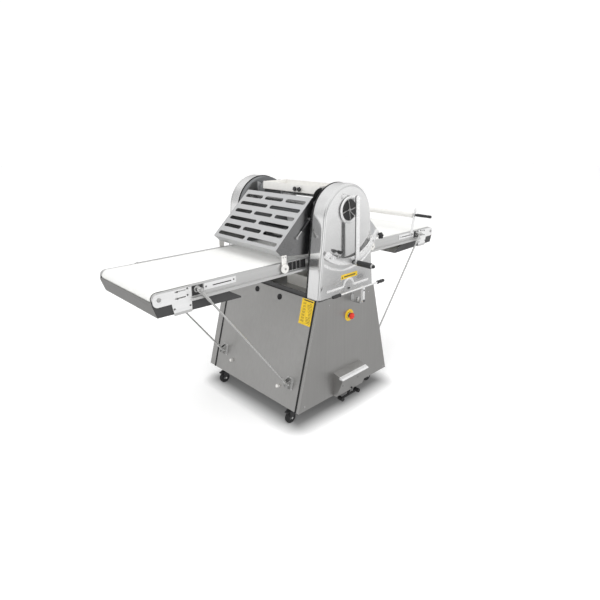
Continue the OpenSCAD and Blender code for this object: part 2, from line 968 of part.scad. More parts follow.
// Side plate at the outer end of a table: round nose above, hanger below
module end_plate_outline(x0, x1) {
    nose_r = 26;
    low = rail_bottom_z + 4;
    high = belt_top_z - 4;
    polygon([
        [x0, 846],
        [x0 + 92, 846],
        [x0 + 104, low],
        [x1 - nose_r, low],
        [x1, low + nose_r],
        [x1, high - nose_r],
        [x1 - nose_r, high],
        [x0, high]
    ]);
    for (z = [low + nose_r, high - nose_r])
        translate([x1 - nose_r, z])
            circle(r = nose_r);
}

// Endless belt round the drive roller and the outer roller
module table_belt() {
    gap = 0.2;
    r_in = table_roller_r + gap;
    color("white")
        slab(-belt_w / 2, belt_w / 2)
            difference() {
                belt_loop(r_in + belt_t - gap);
                belt_loop(r_in);
            }
}

module belt_loop(r) {
    for (x = [drive_x, table_reach])
        translate([x, table_axis_z])
            circle(r = r);
    translate([drive_x, table_axis_z - r])
        square([table_reach - drive_x, 2 * r]);
}

// Catch tray slung under the outer part of the belt
module table_tray() {
    tip = table_reach + 32;
    half = rail_half_w - 3;
    color("gray")
        difference() {
            slab(-half, half)
                polygon([[tip + 2, 934], [tip, 917], [tip - 22, 856], [680, 843],
                    [680, 851], [760, 898], [tip - 40, 904]]);
            slab(-half + 2, half - 2)
                polygon([[tip, 935], [tip - 2.2, 917.4], [tip - 24, 858], [684, 845],
                    [684, 853], [763, 900], [tip - 40, 930]]);
        }
}

// The two rods that prop a table, hinged on its rails, with the foot pins
module table_struts() {
    reach = [strut_foot[0] - strut_top[0], strut_foot[1] - strut_top[1]];
    length = norm(reach);
    color("gainsboro")
        both_y()
            difference() {
                union() {
                    translate([strut_top[0], strut_y, strut_top[1]])
                        rotate([0, atan2(reach[0], reach[1]), 0]) {
                            cylinder(h = length, r = 5.5);
                            translate([0, 0, 12])
                                cylinder(h = 70, r = 8);
                            translate([0, 0, length - 60])
                                cylinder(h = 56, r = 8);
                        }
                    rod_y(strut_top[0], strut_top[1], strut_y - 8, strut_y + 8, 14);
                    rod_y(strut_foot[0], strut_foot[1], strut_y - 20, strut_y + 20, foot_pin_r);
                }
                rod_y(strut_top[0], strut_top[1], strut_y - 20, strut_y + 20, 7 + fit);
            }
}

module table_roller(x, stub, stub_r) {
    rod_y(x, table_axis_z, -belt_w / 2 - 2, belt_w / 2 + 2, table_roller_r);
    rod_y(x, table_axis_z, -stub, stub, stub_r);
}

module end_roller() {
    color("gray")
        table_roller(table_reach, rail_half_w + 8, 8);
}

module drive_roller() {
    color("gray")
        table_roller(drive_x, rail_half_w + 8, 10);
}

// Slotted guard plate with its side plates, ears, lip and wheel brackets
guard_top = [168, 1316];
guard_low = [446, 1052];
module guard() {
    ear_r = 18;
    side_y = rail_half_w + 4;
    run = guard_low - guard_top;
    length = norm(run);
    angle = atan2(-run[1], run[0]);
    color("lightgray") {
        translate([guard_top[0], 0, guard_top[1]])
            rotate([0, angle, 0])
                difference() {
                    translate([0, -side_y, -wall])
                        cube([length, 2 * side_y, wall]);
                    for (row = [0 : 5])
                        guard_slots(45 + row * (length - 79) / 5, row % 2 == 0);
                }
        both_y()
            difference() {
                union() {
                    slab(side_y, side_y + wall) {
                        polygon([guard_top, guard_low, [402, 1010], [200, 993], [132, 1236]]);
                        translate([100, 1300])
                            circle(r = 66);
                    }
                    rod_y(guard_axis[0], guard_axis[1], side_y - 6, side_y + wall + 2, ear_r);
                }
                rod_y(guard_axis[0], guard_axis[1], side_y - 7, side_y + wall + 3, 8 + fit);
            }
        slab(-side_y, side_y)
            polygon([guard_low, [404, 1010], [404, 1012], guard_low + [-4, 1]]);
    }
    color("white")
        both_y() {
            block([guard_wheel_x - 16, side_y + wall, wheel_z - 6],
                [guard_wheel_x + 16, side_y + wall + 3, 1016]);
            rod_y(guard_wheel_x, wheel_z, side_y + wall, side_y + wall + 16, 5);
        }
    color("silver")
        both_y() {
            translate([190, side_y + wall + 5, 1196])
                rotate([0, 180 - 48, 0])
                    cylinder(h = 142, r = 4);
            rod_y(190 + 142 * sin(48), 1196 - 142 * cos(48), side_y + wall, side_y + wall + 11, 8);
            rod_y(190, 1196, side_y + wall, side_y + wall + 11, 8);
        }
}

wheel_z = ledge_top_z + guard_wheel_r + 0.2;

// One row of slots: three short ones or two long ones
module guard_slots(along, short_row) {
    count = short_row ? 3 : 2;
    pitch = (2 * rail_half_w - 10) / count;
    for (i = [0 : count - 1])
        translate([along, (i - (count - 1) / 2) * pitch, -wall / 2])
            linear_extrude(2 * wall, center = true)
                rotate(90)
                    stadium(pitch - 26, 26);
}

// Round shaft through the side frames with the fingers that lift the guard
module guard_shaft() {
    color("silver") {
        rod_y(guard_axis[0], guard_axis[1], -frame_y - frame_t - 2, frame_y + frame_t + 2, 8);
        both_y()
            rod_y(guard_axis[0], guard_axis[1], rail_half_w - 12, rail_half_w - 4, 14);
    }
}

module guard_wheels() {
    color("white")
        both_y()
            difference() {
                rod_y(guard_wheel_x, wheel_z, rail_half_w + 10, rail_half_w + 20, guard_wheel_r);
                rod_y(guard_wheel_x, wheel_z, rail_half_w + 9, rail_half_w + 21, 5 + fit);
            }
}

module right_table_frame() {
    table_frame();
    color("gainsboro")
        both_y()
            rod_y(reel_foot[0], reel_foot[1], rail_half_w + 1, rail_half_w + 12, 6);
}

module right_belt() { table_belt(); }
module right_tray() { table_tray(); }
module right_struts() { table_struts(); }
module right_end_roller() { end_roller(); }
module right_drive_roller() { drive_roller(); }
module right_guard() { guard(); }
module right_guard_shaft() { guard_shaft(); }
module right_guard_wheels() { guard_wheels(); }
module left_table_frame() { mirror([1, 0, 0]) table_frame(); }
module left_belt() { mirror([1, 0, 0]) table_belt(); }
module left_tray() { mirror([1, 0, 0]) table_tray(); }
module left_struts() { mirror([1, 0, 0]) table_struts(); }
module left_end_roller() { mirror([1, 0, 0]) end_roller(); }
module left_drive_roller() { mirror([1, 0, 0]) drive_roller(); }
module left_guard() { mirror([1, 0, 0]) guard(); }
module left_guard_shaft() { mirror([1, 0, 0]) guard_shaft(); }
module left_guard_wheels() { mirror([1, 0, 0]) guard_wheels(); }

// ---- Dough reel ----

// Two arms hinged on the right table's rails, with a grip on the operator's side
module reel_arms() {
    arm_y = rail_half_w + 5.5;
    color("gainsboro")
        both_y()
            difference() {
                hull() {
                    rod_y(reel_foot[0], reel_foot[1], arm_y, arm_y + 4, 13);
                    rod_y(reel_foot[0] + 38, reel_foot[1] + 176, arm_y, arm_y + 4, 13);
                }
                rod_y(reel_axis[0], reel_axis[1], arm_y - 1, arm_y + 5, 8 + fit);
                rod_y(reel_foot[0], reel_foot[1], arm_y - 1, arm_y + 5, 6 + fit);
            }
    color("black")
        rod_y(reel_axis[0] + 2, reel_axis[1] + 4, -435, -arm_y - 4, 11);
}

module dough_reel() {
    color("white") {
        rod_y(reel_axis[0], reel_axis[1], -rail_half_w + 2, rail_half_w - 2, 19);
        rod_y(reel_axis[0], reel_axis[1], -rail_half_w - 9, rail_half_w + 9, 8);
    }
}

base_frame();
side_panels();
front_cover();
rear_cover();
seals();
strut_brackets();
deck_tray();
crumb_pan();
side_frames();
front_head_cover();
rear_head_cover();
roller_bearings();
drive_motor();
drive_belt();
lower_scraper();
quadrant_plate();
star_knobs();
pedal_cover();
label_plates();
joystick_bracket();
cover_screws();
flour_bin();
lever();
lever_grip();
adjusting_shaft();
roller_carriage();
upper_roller();
lower_roller();
motor_pulley();
joystick();
pedal();
estop_button();
caster_fork_fl();
caster_fork_fr();
caster_fork_rl();
caster_fork_rr();
caster_wheel_fl();
caster_wheel_fr();
caster_wheel_rl();
caster_wheel_rr();
left_table_frame();
left_belt();
left_tray();
left_struts();
left_end_roller();
left_drive_roller();
left_guard();
left_guard_shaft();
left_guard_wheels();
right_table_frame();
right_belt();
right_tray();
right_struts();
right_end_roller();
right_drive_roller();
right_guard();
right_guard_shaft();
right_guard_wheels();
reel_arms();
dough_reel();
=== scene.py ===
"""Looks of the dough sheeter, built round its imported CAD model."""

import json
import math

import bmesh
import bpy
from mathutils import Matrix, Vector


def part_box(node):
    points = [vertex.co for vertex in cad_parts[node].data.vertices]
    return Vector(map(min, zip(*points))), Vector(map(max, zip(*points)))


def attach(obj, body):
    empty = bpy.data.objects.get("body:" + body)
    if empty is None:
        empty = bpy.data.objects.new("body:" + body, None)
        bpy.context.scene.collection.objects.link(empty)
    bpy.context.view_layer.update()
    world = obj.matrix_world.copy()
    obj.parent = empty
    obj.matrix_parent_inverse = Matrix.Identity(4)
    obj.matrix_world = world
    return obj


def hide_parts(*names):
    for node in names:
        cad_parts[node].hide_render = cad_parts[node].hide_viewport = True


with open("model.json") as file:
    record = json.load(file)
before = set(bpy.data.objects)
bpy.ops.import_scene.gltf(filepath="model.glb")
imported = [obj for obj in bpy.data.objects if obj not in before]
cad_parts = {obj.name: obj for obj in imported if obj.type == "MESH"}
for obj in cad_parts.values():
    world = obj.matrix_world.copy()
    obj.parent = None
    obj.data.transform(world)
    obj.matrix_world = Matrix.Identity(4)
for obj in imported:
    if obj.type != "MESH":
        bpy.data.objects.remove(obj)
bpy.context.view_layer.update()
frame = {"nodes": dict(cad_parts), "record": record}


# ---- Node trees ----


class Tree:
    """The node tree of a material or the world, with short calls to add and link nodes."""

    def __init__(self, owner):
        self.owner = owner
        owner.use_nodes = True
        self.tree = owner.node_tree
        self.tree.nodes.clear()
        self.coordinates = self.add("TexCoord").outputs
        self.place = self.coordinates["Object"]

    def add(self, kind, values=None, **settings):
        """A node with its settings, and its inputs set to values or linked to outputs."""
        node = self.tree.nodes.new("ShaderNode" + kind)
        for key, value in settings.items():
            setattr(node, key, value)
        for key, value in (values or {}).items():
            if isinstance(value, bpy.types.NodeSocket):
                self.tree.links.new(value, node.inputs[key])
            else:
                node.inputs[key].default_value = value
        return node

    def scaled(self, scale, turn=(0, 0, 0)):
        """Object coordinates in metres, scaled per axis."""
        return self.add("Mapping", {"Vector": self.place, "Scale": scale, "Rotation": turn}).outputs[0]

    def noise(self, scale, detail=2.0, turn=(0, 0, 0), distortion=0.0):
        """A noise value with a scale per axis, in features a metre."""
        values = {"Vector": self.scaled(scale, turn), "Scale": 1.0, "Detail": detail}
        return self.add("TexNoise", {**values, "Distortion": distortion}).outputs["Fac"]

    def spread(self, value, low, high, start=0.3, end=0.7):
        """Maps a noise value from its usual span onto low..high."""
        values = {"Value": value, "From Min": start, "From Max": end, "To Min": low, "To Max": high}
        return self.add("MapRange", values).outputs[0]

    def math(self, operation, first, second=0.0):
        """The result of one sum on two values."""
        return self.add("Math", {0: first, 1: second}, operation=operation).outputs[0]

    def tint(self, color, share, amount):
        """The colour made lighter or darker by a share from a noise value."""
        return self.dimmed(color, self.spread(share, 1 - amount, 1 + amount))

    def dimmed(self, color, factor):
        """The colour times a factor."""
        return self.add("VectorMath", {0: color, "Scale": factor}, operation="SCALE").outputs[0]

    def bump(self, height, distance, strength=1.0, normal=None):
        """The surface's normal, or the one given, bent by a height over a distance in metres."""
        values = {"Height": height, "Distance": distance, "Strength": strength}
        if normal is not None:
            values["Normal"] = normal
        return self.add("Bump", values).outputs[0]

    def finish(self, shader):
        """Links the shader to the output and returns the material."""
        self.add("OutputMaterial", {"Surface": shader})
        return self.owner

    def zone(self, low, high):
        """1 inside a box given in millimetres and mirrored in x and y, 0 outside."""
        centre = tuple((a + b) / 2000 for a, b in zip(low, high))
        half = tuple((b - a) / 2000 for a, b in zip(low, high))
        folded = self.add("VectorMath", {0: self.place}, operation="ABSOLUTE").outputs[0]
        offset = self.add("VectorMath", {0: folded, 1: centre}, operation="SUBTRACT").outputs[0]
        reach = self.add("VectorMath", {0: offset}, operation="ABSOLUTE").outputs[0]
        left = self.add("VectorMath", {0: reach, 1: half}, operation="SUBTRACT").outputs[0]
        parts = self.add("SeparateXYZ", {0: left}).outputs
        most = self.math("MAXIMUM", self.math("MAXIMUM", parts[0], parts[1]), parts[2])
        return self.math("LESS_THAN", most, 0.0)

    def mix(self, mask, first, second):
        """The first shader where the mask is 0 and the second where it is 1."""
        return self.add("MixShader", {0: mask, 1: first, 2: second}).outputs[0]


# ---- Finishes: each adds its nodes to a tree and returns the shader ----


def brushed(t, color=(0.60, 0.59, 0.58), roughness=0.36, grain=(6, 900, 900), metallic=1.0):
    """Satin sheet: fine streaks along the grain, slow stains and finger marks."""
    fine = t.noise(grain, 3)
    wide = t.noise(tuple(g / 9 + 1 for g in grain), 2)
    stain = t.noise((3.1, 3.7, 3.3), 4, distortion=0.6)
    marks = t.noise((26, 23, 29), 5, distortion=1.2)
    rough = t.math("ADD", t.spread(fine, roughness - 0.05, roughness + 0.05), t.spread(stain, -0.03, 0.05))
    rough = t.math("ADD", rough, t.spread(marks, -0.02, 0.03))
    height = t.math("ADD", fine, t.math("MULTIPLY", wide, 1.6))
    shade = t.math("MULTIPLY", t.math("ADD", wide, stain), 0.5)
    return t.add("BsdfPrincipled", {
        "Base Color": t.tint(color, shade, 0.05),
        "Metallic": metallic,
        "Roughness": rough,
        "Anisotropic": 0.35,
        "Normal": t.bump(height, 0.00004, 0.6),
    }).outputs[0]


def polished(t, color=(0.74, 0.74, 0.745), roughness=0.10, waves=0.0009):
    """Mirror sheet with the slow waves of deep drawing, wiping marks and hairlines."""
    slow = t.noise((5.2, 5.2, 4.1), 1, distortion=0.3)
    wipe = t.noise((14, 60, 40), 4, turn=(0.2, 0.1, 0.5), distortion=0.8)
    hair = t.noise((40, 900, 1400), 2, turn=(0.1, 0.3, 0.2))
    rough = t.math("ADD", t.spread(wipe, roughness - 0.02, roughness + 0.05), t.spread(hair, -0.01, 0.02))
    normal = t.bump(slow, waves, 1.0)
    return t.add("BsdfPrincipled", {
        "Base Color": t.tint(color, wipe, 0.02),
        "Metallic": 1.0,
        "Roughness": rough,
        "Normal": t.bump(hair, 0.00001, 0.4, normal),
    }).outputs[0]


def drawn_cover(t, color=(0.88, 0.88, 0.88)):
    """Deep-drawn cover: mirror-bright walls, corners and crown, satin low on its face, with drawing waves and
    painted shade that darkens the face, most toward its bottom.
    """
    slow = t.noise((5.2, 5.2, 4.1), 1, distortion=0.3)
    wipe = t.noise((14, 60, 40), 4, turn=(0.2, 0.1, 0.5), distortion=0.8)
    grain = t.noise((700, 700, 8), 3)
    parts = t.add("SeparateXYZ", {0: t.place}).outputs
    front = -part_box("front_head_cover")[0].y
    face = t.spread(t.math("ABSOLUTE", parts[1]), 0.0, 1.0, front - 0.010, front - 0.003)
    low = t.math("MULTIPLY", face, t.spread(parts[2], 1.0, 0.0, 0.84, 1.02))
    rough = t.math("ADD", t.math("MULTIPLY", low, 0.24), t.spread(wipe, 0.10, 0.16))
    # painted shade: the face is dimmed a little all over and more toward its bottom
    shade = t.math("ADD", t.math("MULTIPLY", low, 0.34), t.math("MULTIPLY", face, 0.10))
    return t.add("BsdfPrincipled", {
        "Base Color": t.dimmed(t.tint(color, wipe, 0.02), t.math("SUBTRACT", 1.0, shade)),
        "Metallic": 0.9,
        "Roughness": rough,
        "Normal": t.bump(grain, 0.00002, 0.4, t.bump(slow, 0.0009, 1.0)),
    }).outputs[0]


def enamel(t, color, roughness=0.28, coat=0.4, metallic=0.0, flake=0.0):
    """Sprayed coat with orange peel, faint dirt and rubbed spots."""
    peel = t.noise((420, 420, 420), 2)
    dirt = t.noise((7, 9, 8), 4, distortion=0.5)
    speck = t.noise((3000, 3000, 3000), 1)
    shade = t.math("ADD", t.math("MULTIPLY", dirt, 1 - flake), t.math("MULTIPLY", speck, flake))
    return t.add("BsdfPrincipled", {
        "Base Color": t.tint(color, shade, 0.05),
        "Metallic": metallic,
        "Roughness": t.spread(dirt, roughness - 0.05, roughness + 0.08),
        "Coat Weight": coat,
        "Coat Roughness": 0.15,
        "Normal": t.bump(peel, 0.00005, 0.35),
    }).outputs[0]


def plastic(t, color, roughness=0.42, grain=900, glow=0.0, wear=0.10):
    """Moulded plastic with a fine eroded grain and slightly shiny worn places."""
    eroded = t.noise((grain, grain, grain), 3)
    worn = t.noise((30, 34, 31), 4, distortion=0.7)
    return t.add("BsdfPrincipled", {
        "Base Color": t.tint(color, worn, wear),
        "Roughness": t.spread(worn, roughness - 0.08, roughness + 0.08),
        "Specular IOR Level": 0.45,
        "Subsurface Weight": glow,
        "Subsurface Radius": (0.004, 0.004, 0.004),
        "Normal": t.bump(eroded, 0.00008, 0.5),
    }).outputs[0]


def rubber(t, color=(0.022, 0.022, 0.023)):
    """Dull black rubber with fine grit and dust."""
    grit = t.noise((700, 700, 700), 3)
    dust = t.noise((18, 21, 19), 5, distortion=0.4)
    return t.add("BsdfPrincipled", {
        "Base Color": t.tint(color, dust, 0.35),
        "Roughness": t.spread(dust, 0.55, 0.75),
        "Specular IOR Level": 0.35,
        "Normal": t.bump(grit, 0.0001, 0.6),
    }).outputs[0]


def woven(t):
    """White food belt: a fine weave under a matt skin, flour dust, faint wear lanes and one spliced joint."""
    threads = []
    for band, way in (("Y", (0, 1, 0)), ("X", (1, 0, 0))):
        values = {"Vector": t.scaled(way), "Scale": 210.0, "Distortion": 0.4}
        threads.append(t.add("TexWave", values, bands_direction=band).outputs["Fac"])
    weave = t.math("MULTIPLY", *threads)
    lane = t.noise((0.7, 22, 1), 3)
    dust = t.noise((9, 7, 8), 5, distortion=0.8)
    parts = t.add("SeparateXYZ", {0: t.place}).outputs
    slant = t.math("ADD", t.math("ABSOLUTE", parts[0]), t.math("MULTIPLY", parts[1], 0.18))
    splice = t.math("LESS_THAN", t.math("ABSOLUTE", t.math("SUBTRACT", slant, 0.505)), 0.0006)
    shade = t.math("SUBTRACT", t.math("ADD", t.math("MULTIPLY", lane, 0.55), t.math("MULTIPLY", dust, 0.45)),
                   t.math("MULTIPLY", splice, 0.6))
    height = t.math("SUBTRACT", weave, t.math("MULTIPLY", splice, 1.5))
    return t.add("BsdfPrincipled", {
        "Base Color": t.tint((0.86, 0.86, 0.84), shade, 0.022),
        "Roughness": t.spread(dust, 0.50, 0.66),
        "Specular IOR Level": 0.35,
        "Sheen Weight": 0.15,
        "Normal": t.bump(height, 0.00012, 0.5),
    }).outputs[0]


FINISHES = {
    "steel_sheet": lambda t: brushed(t, (0.50, 0.495, 0.485), 0.42, (900, 900, 5)),
    "polished_steel": polished,
    "frame_steel": lambda t: enamel(t, (0.16, 0.165, 0.17), 0.45, 0.1),
    "bright_steel": lambda t: brushed(t, (0.66, 0.66, 0.655), 0.24, (500, 500, 500)),
    "white_enamel": lambda t: brushed(t, (0.72, 0.72, 0.715), 0.36, (5, 900, 900), metallic=0.8),
    "guard_metal": lambda t: enamel(t, (0.62, 0.625, 0.63), 0.36, 0.15, metallic=0.75, flake=0.6),
    # guard_side: a dark sheet laid as painted shade on the left guard's cheek
    "guard_side": lambda t: brushed(t, (0.27, 0.27, 0.272), 0.30, (900, 900, 900)),
    # dark_sheet: also laid as painted shade on the trays' and the deck's sides, and as a painted reflection
    # on the lever arm
    "dark_sheet": lambda t: enamel(t, (0.050, 0.050, 0.051), 0.4, 0.1),
    "drawn_cover": drawn_cover,
    "lever_steel": lambda t: brushed(t, (0.95, 0.95, 0.95), 0.24, (1800, 1800, 1800), metallic=0.6),
    "rod_steel": lambda t: brushed(t, (0.70, 0.70, 0.69), 0.24, (1800, 1800, 1800), metallic=0.85),
    "pale_bevel": lambda t: brushed(t, (0.90, 0.90, 0.90), 0.5, (5, 900, 900), metallic=0.5),
    "roller_chrome": lambda t: polished(t, (0.82, 0.82, 0.83), 0.12, 0.0),
    "belt_fabric": woven,
    "black_rubber": rubber,
    "black_plastic": lambda t: plastic(t, (0.030, 0.030, 0.031)),
    "white_plastic": lambda t: plastic(t, (0.80, 0.79, 0.765), 0.38, glow=0.05, wear=0.025),
    "red_plastic": lambda t: plastic(t, (0.66, 0.035, 0.02), 0.24, 400),
    "yellow_label": lambda t: plastic(t, (0.80, 0.54, 0.02), 0.40, 300),
    "motor_paint": lambda t: enamel(t, (0.10, 0.16, 0.24), 0.4, 0.2),
    "dark_screw": lambda t: brushed(t, (0.24, 0.24, 0.24), 0.3, (600, 600, 600)),
}


def make_material(name, finish):
    """A new material with one finish all over."""
    t = Tree(bpy.data.materials.new(name))
    return t.finish(finish(t))


MATERIALS = {slot: make_material(slot, finish) for slot, finish in FINISHES.items()}


def zoned(name, base, zones):
    """A material that changes inside boxes of the object's own space."""
    t = Tree(bpy.data.materials.new(name))
    shader = FINISHES[base](t)
    for low, high, other in zones:
        shader = t.mix(t.zone(low, high), shader, FINISHES[other](t))
    return t.finish(shader)


for part in frame["record"]["subparts"]:
    frame["nodes"][part["node"]].material_slots[0].material = MATERIALS[part["material_slot"]]


def paint(material, *nodes):
    """Gives CAD nodes a material."""
    for node in nodes:
        frame["nodes"][node].material_slots[0].material = material


RIBS = [((223 + 15 * i, 290.2, 921), (233 + 15 * i, 300, 969), "black_rubber") for i in range(9)]
RAIL_PLATES = [((714, 292.5, 930), (903, 294.5, 970.5), "pale_bevel"),
               ((969, 290.2, 860), (1180, 292.5, 980), "pale_bevel")]
RAIL = zoned("rail_ribs_and_plates", "white_enamel", RIBS + RAIL_PLATES)
paint(RAIL, "left_table_frame", "right_table_frame")
WHITE_BRACKET = ((370, 292, 930), (410, 330, 1016.5), "white_plastic")
# painted shade: the left guard's cheek gets the dark guard_side sheet, while the right guard keeps its pale
# metal
PAINTED_SHADE_CHEEK = ((90, 293.98, 980), (460, 296.05, 1380), "guard_side")
paint(zoned("guard_and_brackets", "guard_metal", [PAINTED_SHADE_CHEEK, WHITE_BRACKET]), "left_guard")
paint(zoned("pale_guard_and_brackets", "guard_metal", [WHITE_BRACKET]), "right_guard")
paint(MATERIALS["rod_steel"], "left_struts", "right_struts")
# painted shade: the trays' sides under the rails get the dark sheet
paint(zoned("tray_and_painted_shade_sides", "steel_sheet", [((600, 286.3, 830), (1180, 290, 945), "dark_sheet")]),
      "left_tray", "right_tray")
# painted shade: the deck tray's outer wall above the base gets the dark sheet
paint(zoned("deck_and_painted_shade_edge", "steel_sheet", [((242, -1, 725), (250, 330, 790), "dark_sheet")]),
      "deck_tray")
# painted highlight: a pale strip along the pedal cover's bevelled top edge
paint(zoned("pedal_cover_and_painted_highlight_bevel", "steel_sheet", [((-1, 480, 229.5), (140, 512, 262), "pale_bevel")]),
      "pedal_cover")
paint(MATERIALS["black_rubber"], "pedal")
# painted reflection: the arm's rear side faces get the dark sheet for the dark band beside the arm
MATERIALS["lever_arm"] = zoned("arm_and_painted_reflection_flange", "lever_steel",
                               [((-1, 478, 880), (60, 487.5, 1340), "dark_sheet")])
paint(zoned("hooks_and_bumpers", "bright_steel", [((300, 215, 170), (430, 255, 230), "white_plastic")]),
      "strut_brackets")


# ---- Geometry in millimetres ----

TO_FRONT = (0, -1, 0)


def emit(bm, name, slot, body, smooth=38, bevel=0.0, finish=None, thickness=0.0):
    """Turns a bmesh in millimetres into a piece that rides on a body, in its slot's finish or a named one."""
    bmesh.ops.remove_doubles(bm, verts=bm.verts, dist=0.0005)
    bmesh.ops.recalc_face_normals(bm, faces=bm.faces)
    bmesh.ops.scale(bm, vec=(0.001,) * 3, verts=bm.verts)
    mesh = bpy.data.meshes.new(name)
    bm.to_mesh(mesh)
    bm.free()
    mesh.materials.append(MATERIALS[finish or slot])
    mesh.shade_smooth()
    mesh.set_sharp_from_angle(angle=math.radians(smooth))
    piece = bpy.data.objects.new(name, mesh)
    bpy.context.scene.collection.objects.link(piece)
    if thickness:
        shell = piece.modifiers.new("shell", "SOLIDIFY")
        shell.thickness = thickness / 1000
        shell.offset = -1
    if bevel:
        edge = piece.modifiers.new("edge", "BEVEL")
        edge.width = bevel / 1000
        edge.segments = 3
        edge.limit_method = "ANGLE"
        edge.angle_limit = math.radians(35)
        edge.harden_normals = True
    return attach(piece, body)


def basis(axis):
    """The axis as a unit vector with two more at right angles to it."""
    along = Vector(axis).normalized()
    side = along.orthogonal().normalized()
    return along, side, along.cross(side)


def lathe(bm, origin, axis, profile, segments=40):
    """A solid turned from (radius, distance along the axis) pairs."""
    along, side, up = basis(axis)
    rings = []
    for radius, distance in profile:
        centre = Vector(origin) + along * distance
        if radius <= 0:
            rings.append([bm.verts.new(centre)])
            continue
        turns = [2 * math.pi * i / segments for i in range(segments)]
        rings.append([bm.verts.new(centre + (side * math.cos(a) + up * math.sin(a)) * radius) for a in turns])
    for first, second in zip(rings, rings[1:]):
        join_rings(bm, first, second)


def join_rings(bm, first, second):
    """Faces between two rings of vertices, either of which may be a single point."""
    count = max(len(first), len(second))
    for i in range(count):
        j = (i + 1) % count
        if len(first) == 1:
            bm.faces.new((first[0], second[i], second[j]))
        elif len(second) == 1:
            bm.faces.new((first[i], first[j], second[0]))
        else:
            bm.faces.new((first[i], first[j], second[j], second[i]))


def prism(bm, outline, low, high, axis="y"):
    """A solid from an outline of (x, z) points between two levels of y, or (y, z) points between two of x."""
    def corner(point, level):
        return (point[0], level, point[1]) if axis == "y" else (level, point[0], point[1])
    rings = [[bm.verts.new(corner(p, level)) for p in outline] for level in (low, high)]
    join_rings(bm, *rings)
    for ring in rings:
        bm.faces.new(ring)


def hoop(bm, centre, profile, segments, out=1):
    """A ring about the y axis from a closed run of (radius, offset along out) pairs."""
    turns = [2 * math.pi * i / segments for i in range(segments)]
    rings = []
    for radius, offset in profile:
        rings.append([bm.verts.new((centre[0] + radius * math.cos(a), centre[1] + out * offset,
                                    centre[2] + radius * math.sin(a))) for a in turns])
    for first, second in zip(rings, rings[1:] + rings[:1]):
        join_rings(bm, first, second)


def block(bm, low, high):
    """A box between two opposite corners."""
    prism(bm, [(low[0], low[2]), (high[0], low[2]), (high[0], high[2]), (low[0], high[2])], low[1], high[1])


def arc(centre, radius, start, end, count):
    """Points (x, z) on an arc, its angles in degrees from +x toward +z."""
    angles = [math.radians(start + (end - start) * i / count) for i in range(count + 1)]
    return [(centre[0] + radius * math.cos(a), centre[1] + radius * math.sin(a)) for a in angles]


def bar(first, second, r0, r1, count=16):
    """Outline (x, z) of a bar with round ends about two centres."""
    turn = math.degrees(math.atan2(second[1] - first[1], second[0] - first[0]))
    return arc(second, r1, turn - 90, turn + 90, count) + arc(first, r0, turn + 90, turn + 270, count)


def pipe(bm, path, radius, segments=14):
    """A closed round bar swept along a path of points."""
    rings = []
    points = [Vector(p) for p in path]
    reference = None
    for i, point in enumerate(points):
        ahead = points[min(i + 1, len(points) - 1)] - points[max(i - 1, 0)]
        along = ahead.normalized()
        if reference is None:
            reference = along.orthogonal().normalized()
        side = (reference - along * reference.dot(along)).normalized()
        reference = side
        up = along.cross(side)
        turns = [2 * math.pi * k / segments for k in range(segments)]
        rings.append([bm.verts.new(point + (side * math.cos(a) + up * math.sin(a)) * radius) for a in turns])
    for first, second in zip(rings, rings[1:]):
        join_rings(bm, first, second)
    bm.faces.new(rings[0])
    bm.faces.new(rings[-1])


def span(node):
    """A CAD node's lowest and highest corners in millimetres."""
    low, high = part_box(node)
    return low * 1000, high * 1000


# ---- Drawn covers of the head ----

HEAD_LOW, HEAD_HIGH = span("rear_head_cover")
HEAD_HALF = (HEAD_HIGH.x - HEAD_LOW.x) / 2
HEAD_SEAL = -span("front_head_cover")[1].y
HEAD_FACE = HEAD_SEAL + HEAD_HIGH.y - HEAD_LOW.y
REAR_EXTRA = HEAD_LOW.y - HEAD_SEAL
HEAD_TAPER = 0.0963
HEAD_TILT = math.atan(HEAD_TAPER)
HEAD_R = (HEAD_HALF - HEAD_TAPER * (HEAD_HIGH.z - HEAD_LOW.z)) / (math.hypot(1, HEAD_TAPER) - HEAD_TAPER)
ARC_Z = HEAD_HIGH.z - HEAD_R
CORNER_R = 19


def head_half(z):
    """Half the width of the cover's outline at a height."""
    if z < ARC_Z + HEAD_R * math.sin(HEAD_TILT):
        return HEAD_HALF - HEAD_TAPER * (z - HEAD_LOW.z)
    return math.sqrt(max(HEAD_R ** 2 - (z - ARC_Z) ** 2, 0))


def edge_distance(x, z):
    """Distance from a point of the face to the outline."""
    if z - ARC_Z > abs(x) * HEAD_TAPER:
        return HEAD_R - math.hypot(x, z - ARC_Z)
    return (HEAD_HALF - HEAD_TAPER * (z - HEAD_LOW.z) - abs(x)) * math.cos(HEAD_TILT)


def face_depth(x, z):
    """How far the face lies behind its foremost plane: a round corner, then a faint crown."""
    d = max(edge_distance(x, z), 0)
    crown = 3.0 * (1 - min(d / 150, 1)) ** 2
    if d < CORNER_R:
        return crown + CORNER_R - math.sqrt(CORNER_R ** 2 - (CORNER_R - d) ** 2)
    return crown


def head_rows():
    """Heights of the face's rows, finer toward the top of the arc."""
    tangent = ARC_Z + HEAD_R * math.sin(HEAD_TILT)
    count = 60
    straight = [HEAD_LOW.z + (tangent - HEAD_LOW.z) * i / count for i in range(count)]
    angles = [HEAD_TILT + (math.pi / 2 - HEAD_TILT) * i / 54 for i in range(54)]
    return straight + [ARC_Z + HEAD_R * math.sin(a) for a in angles] + [HEAD_HIGH.z - 0.02]


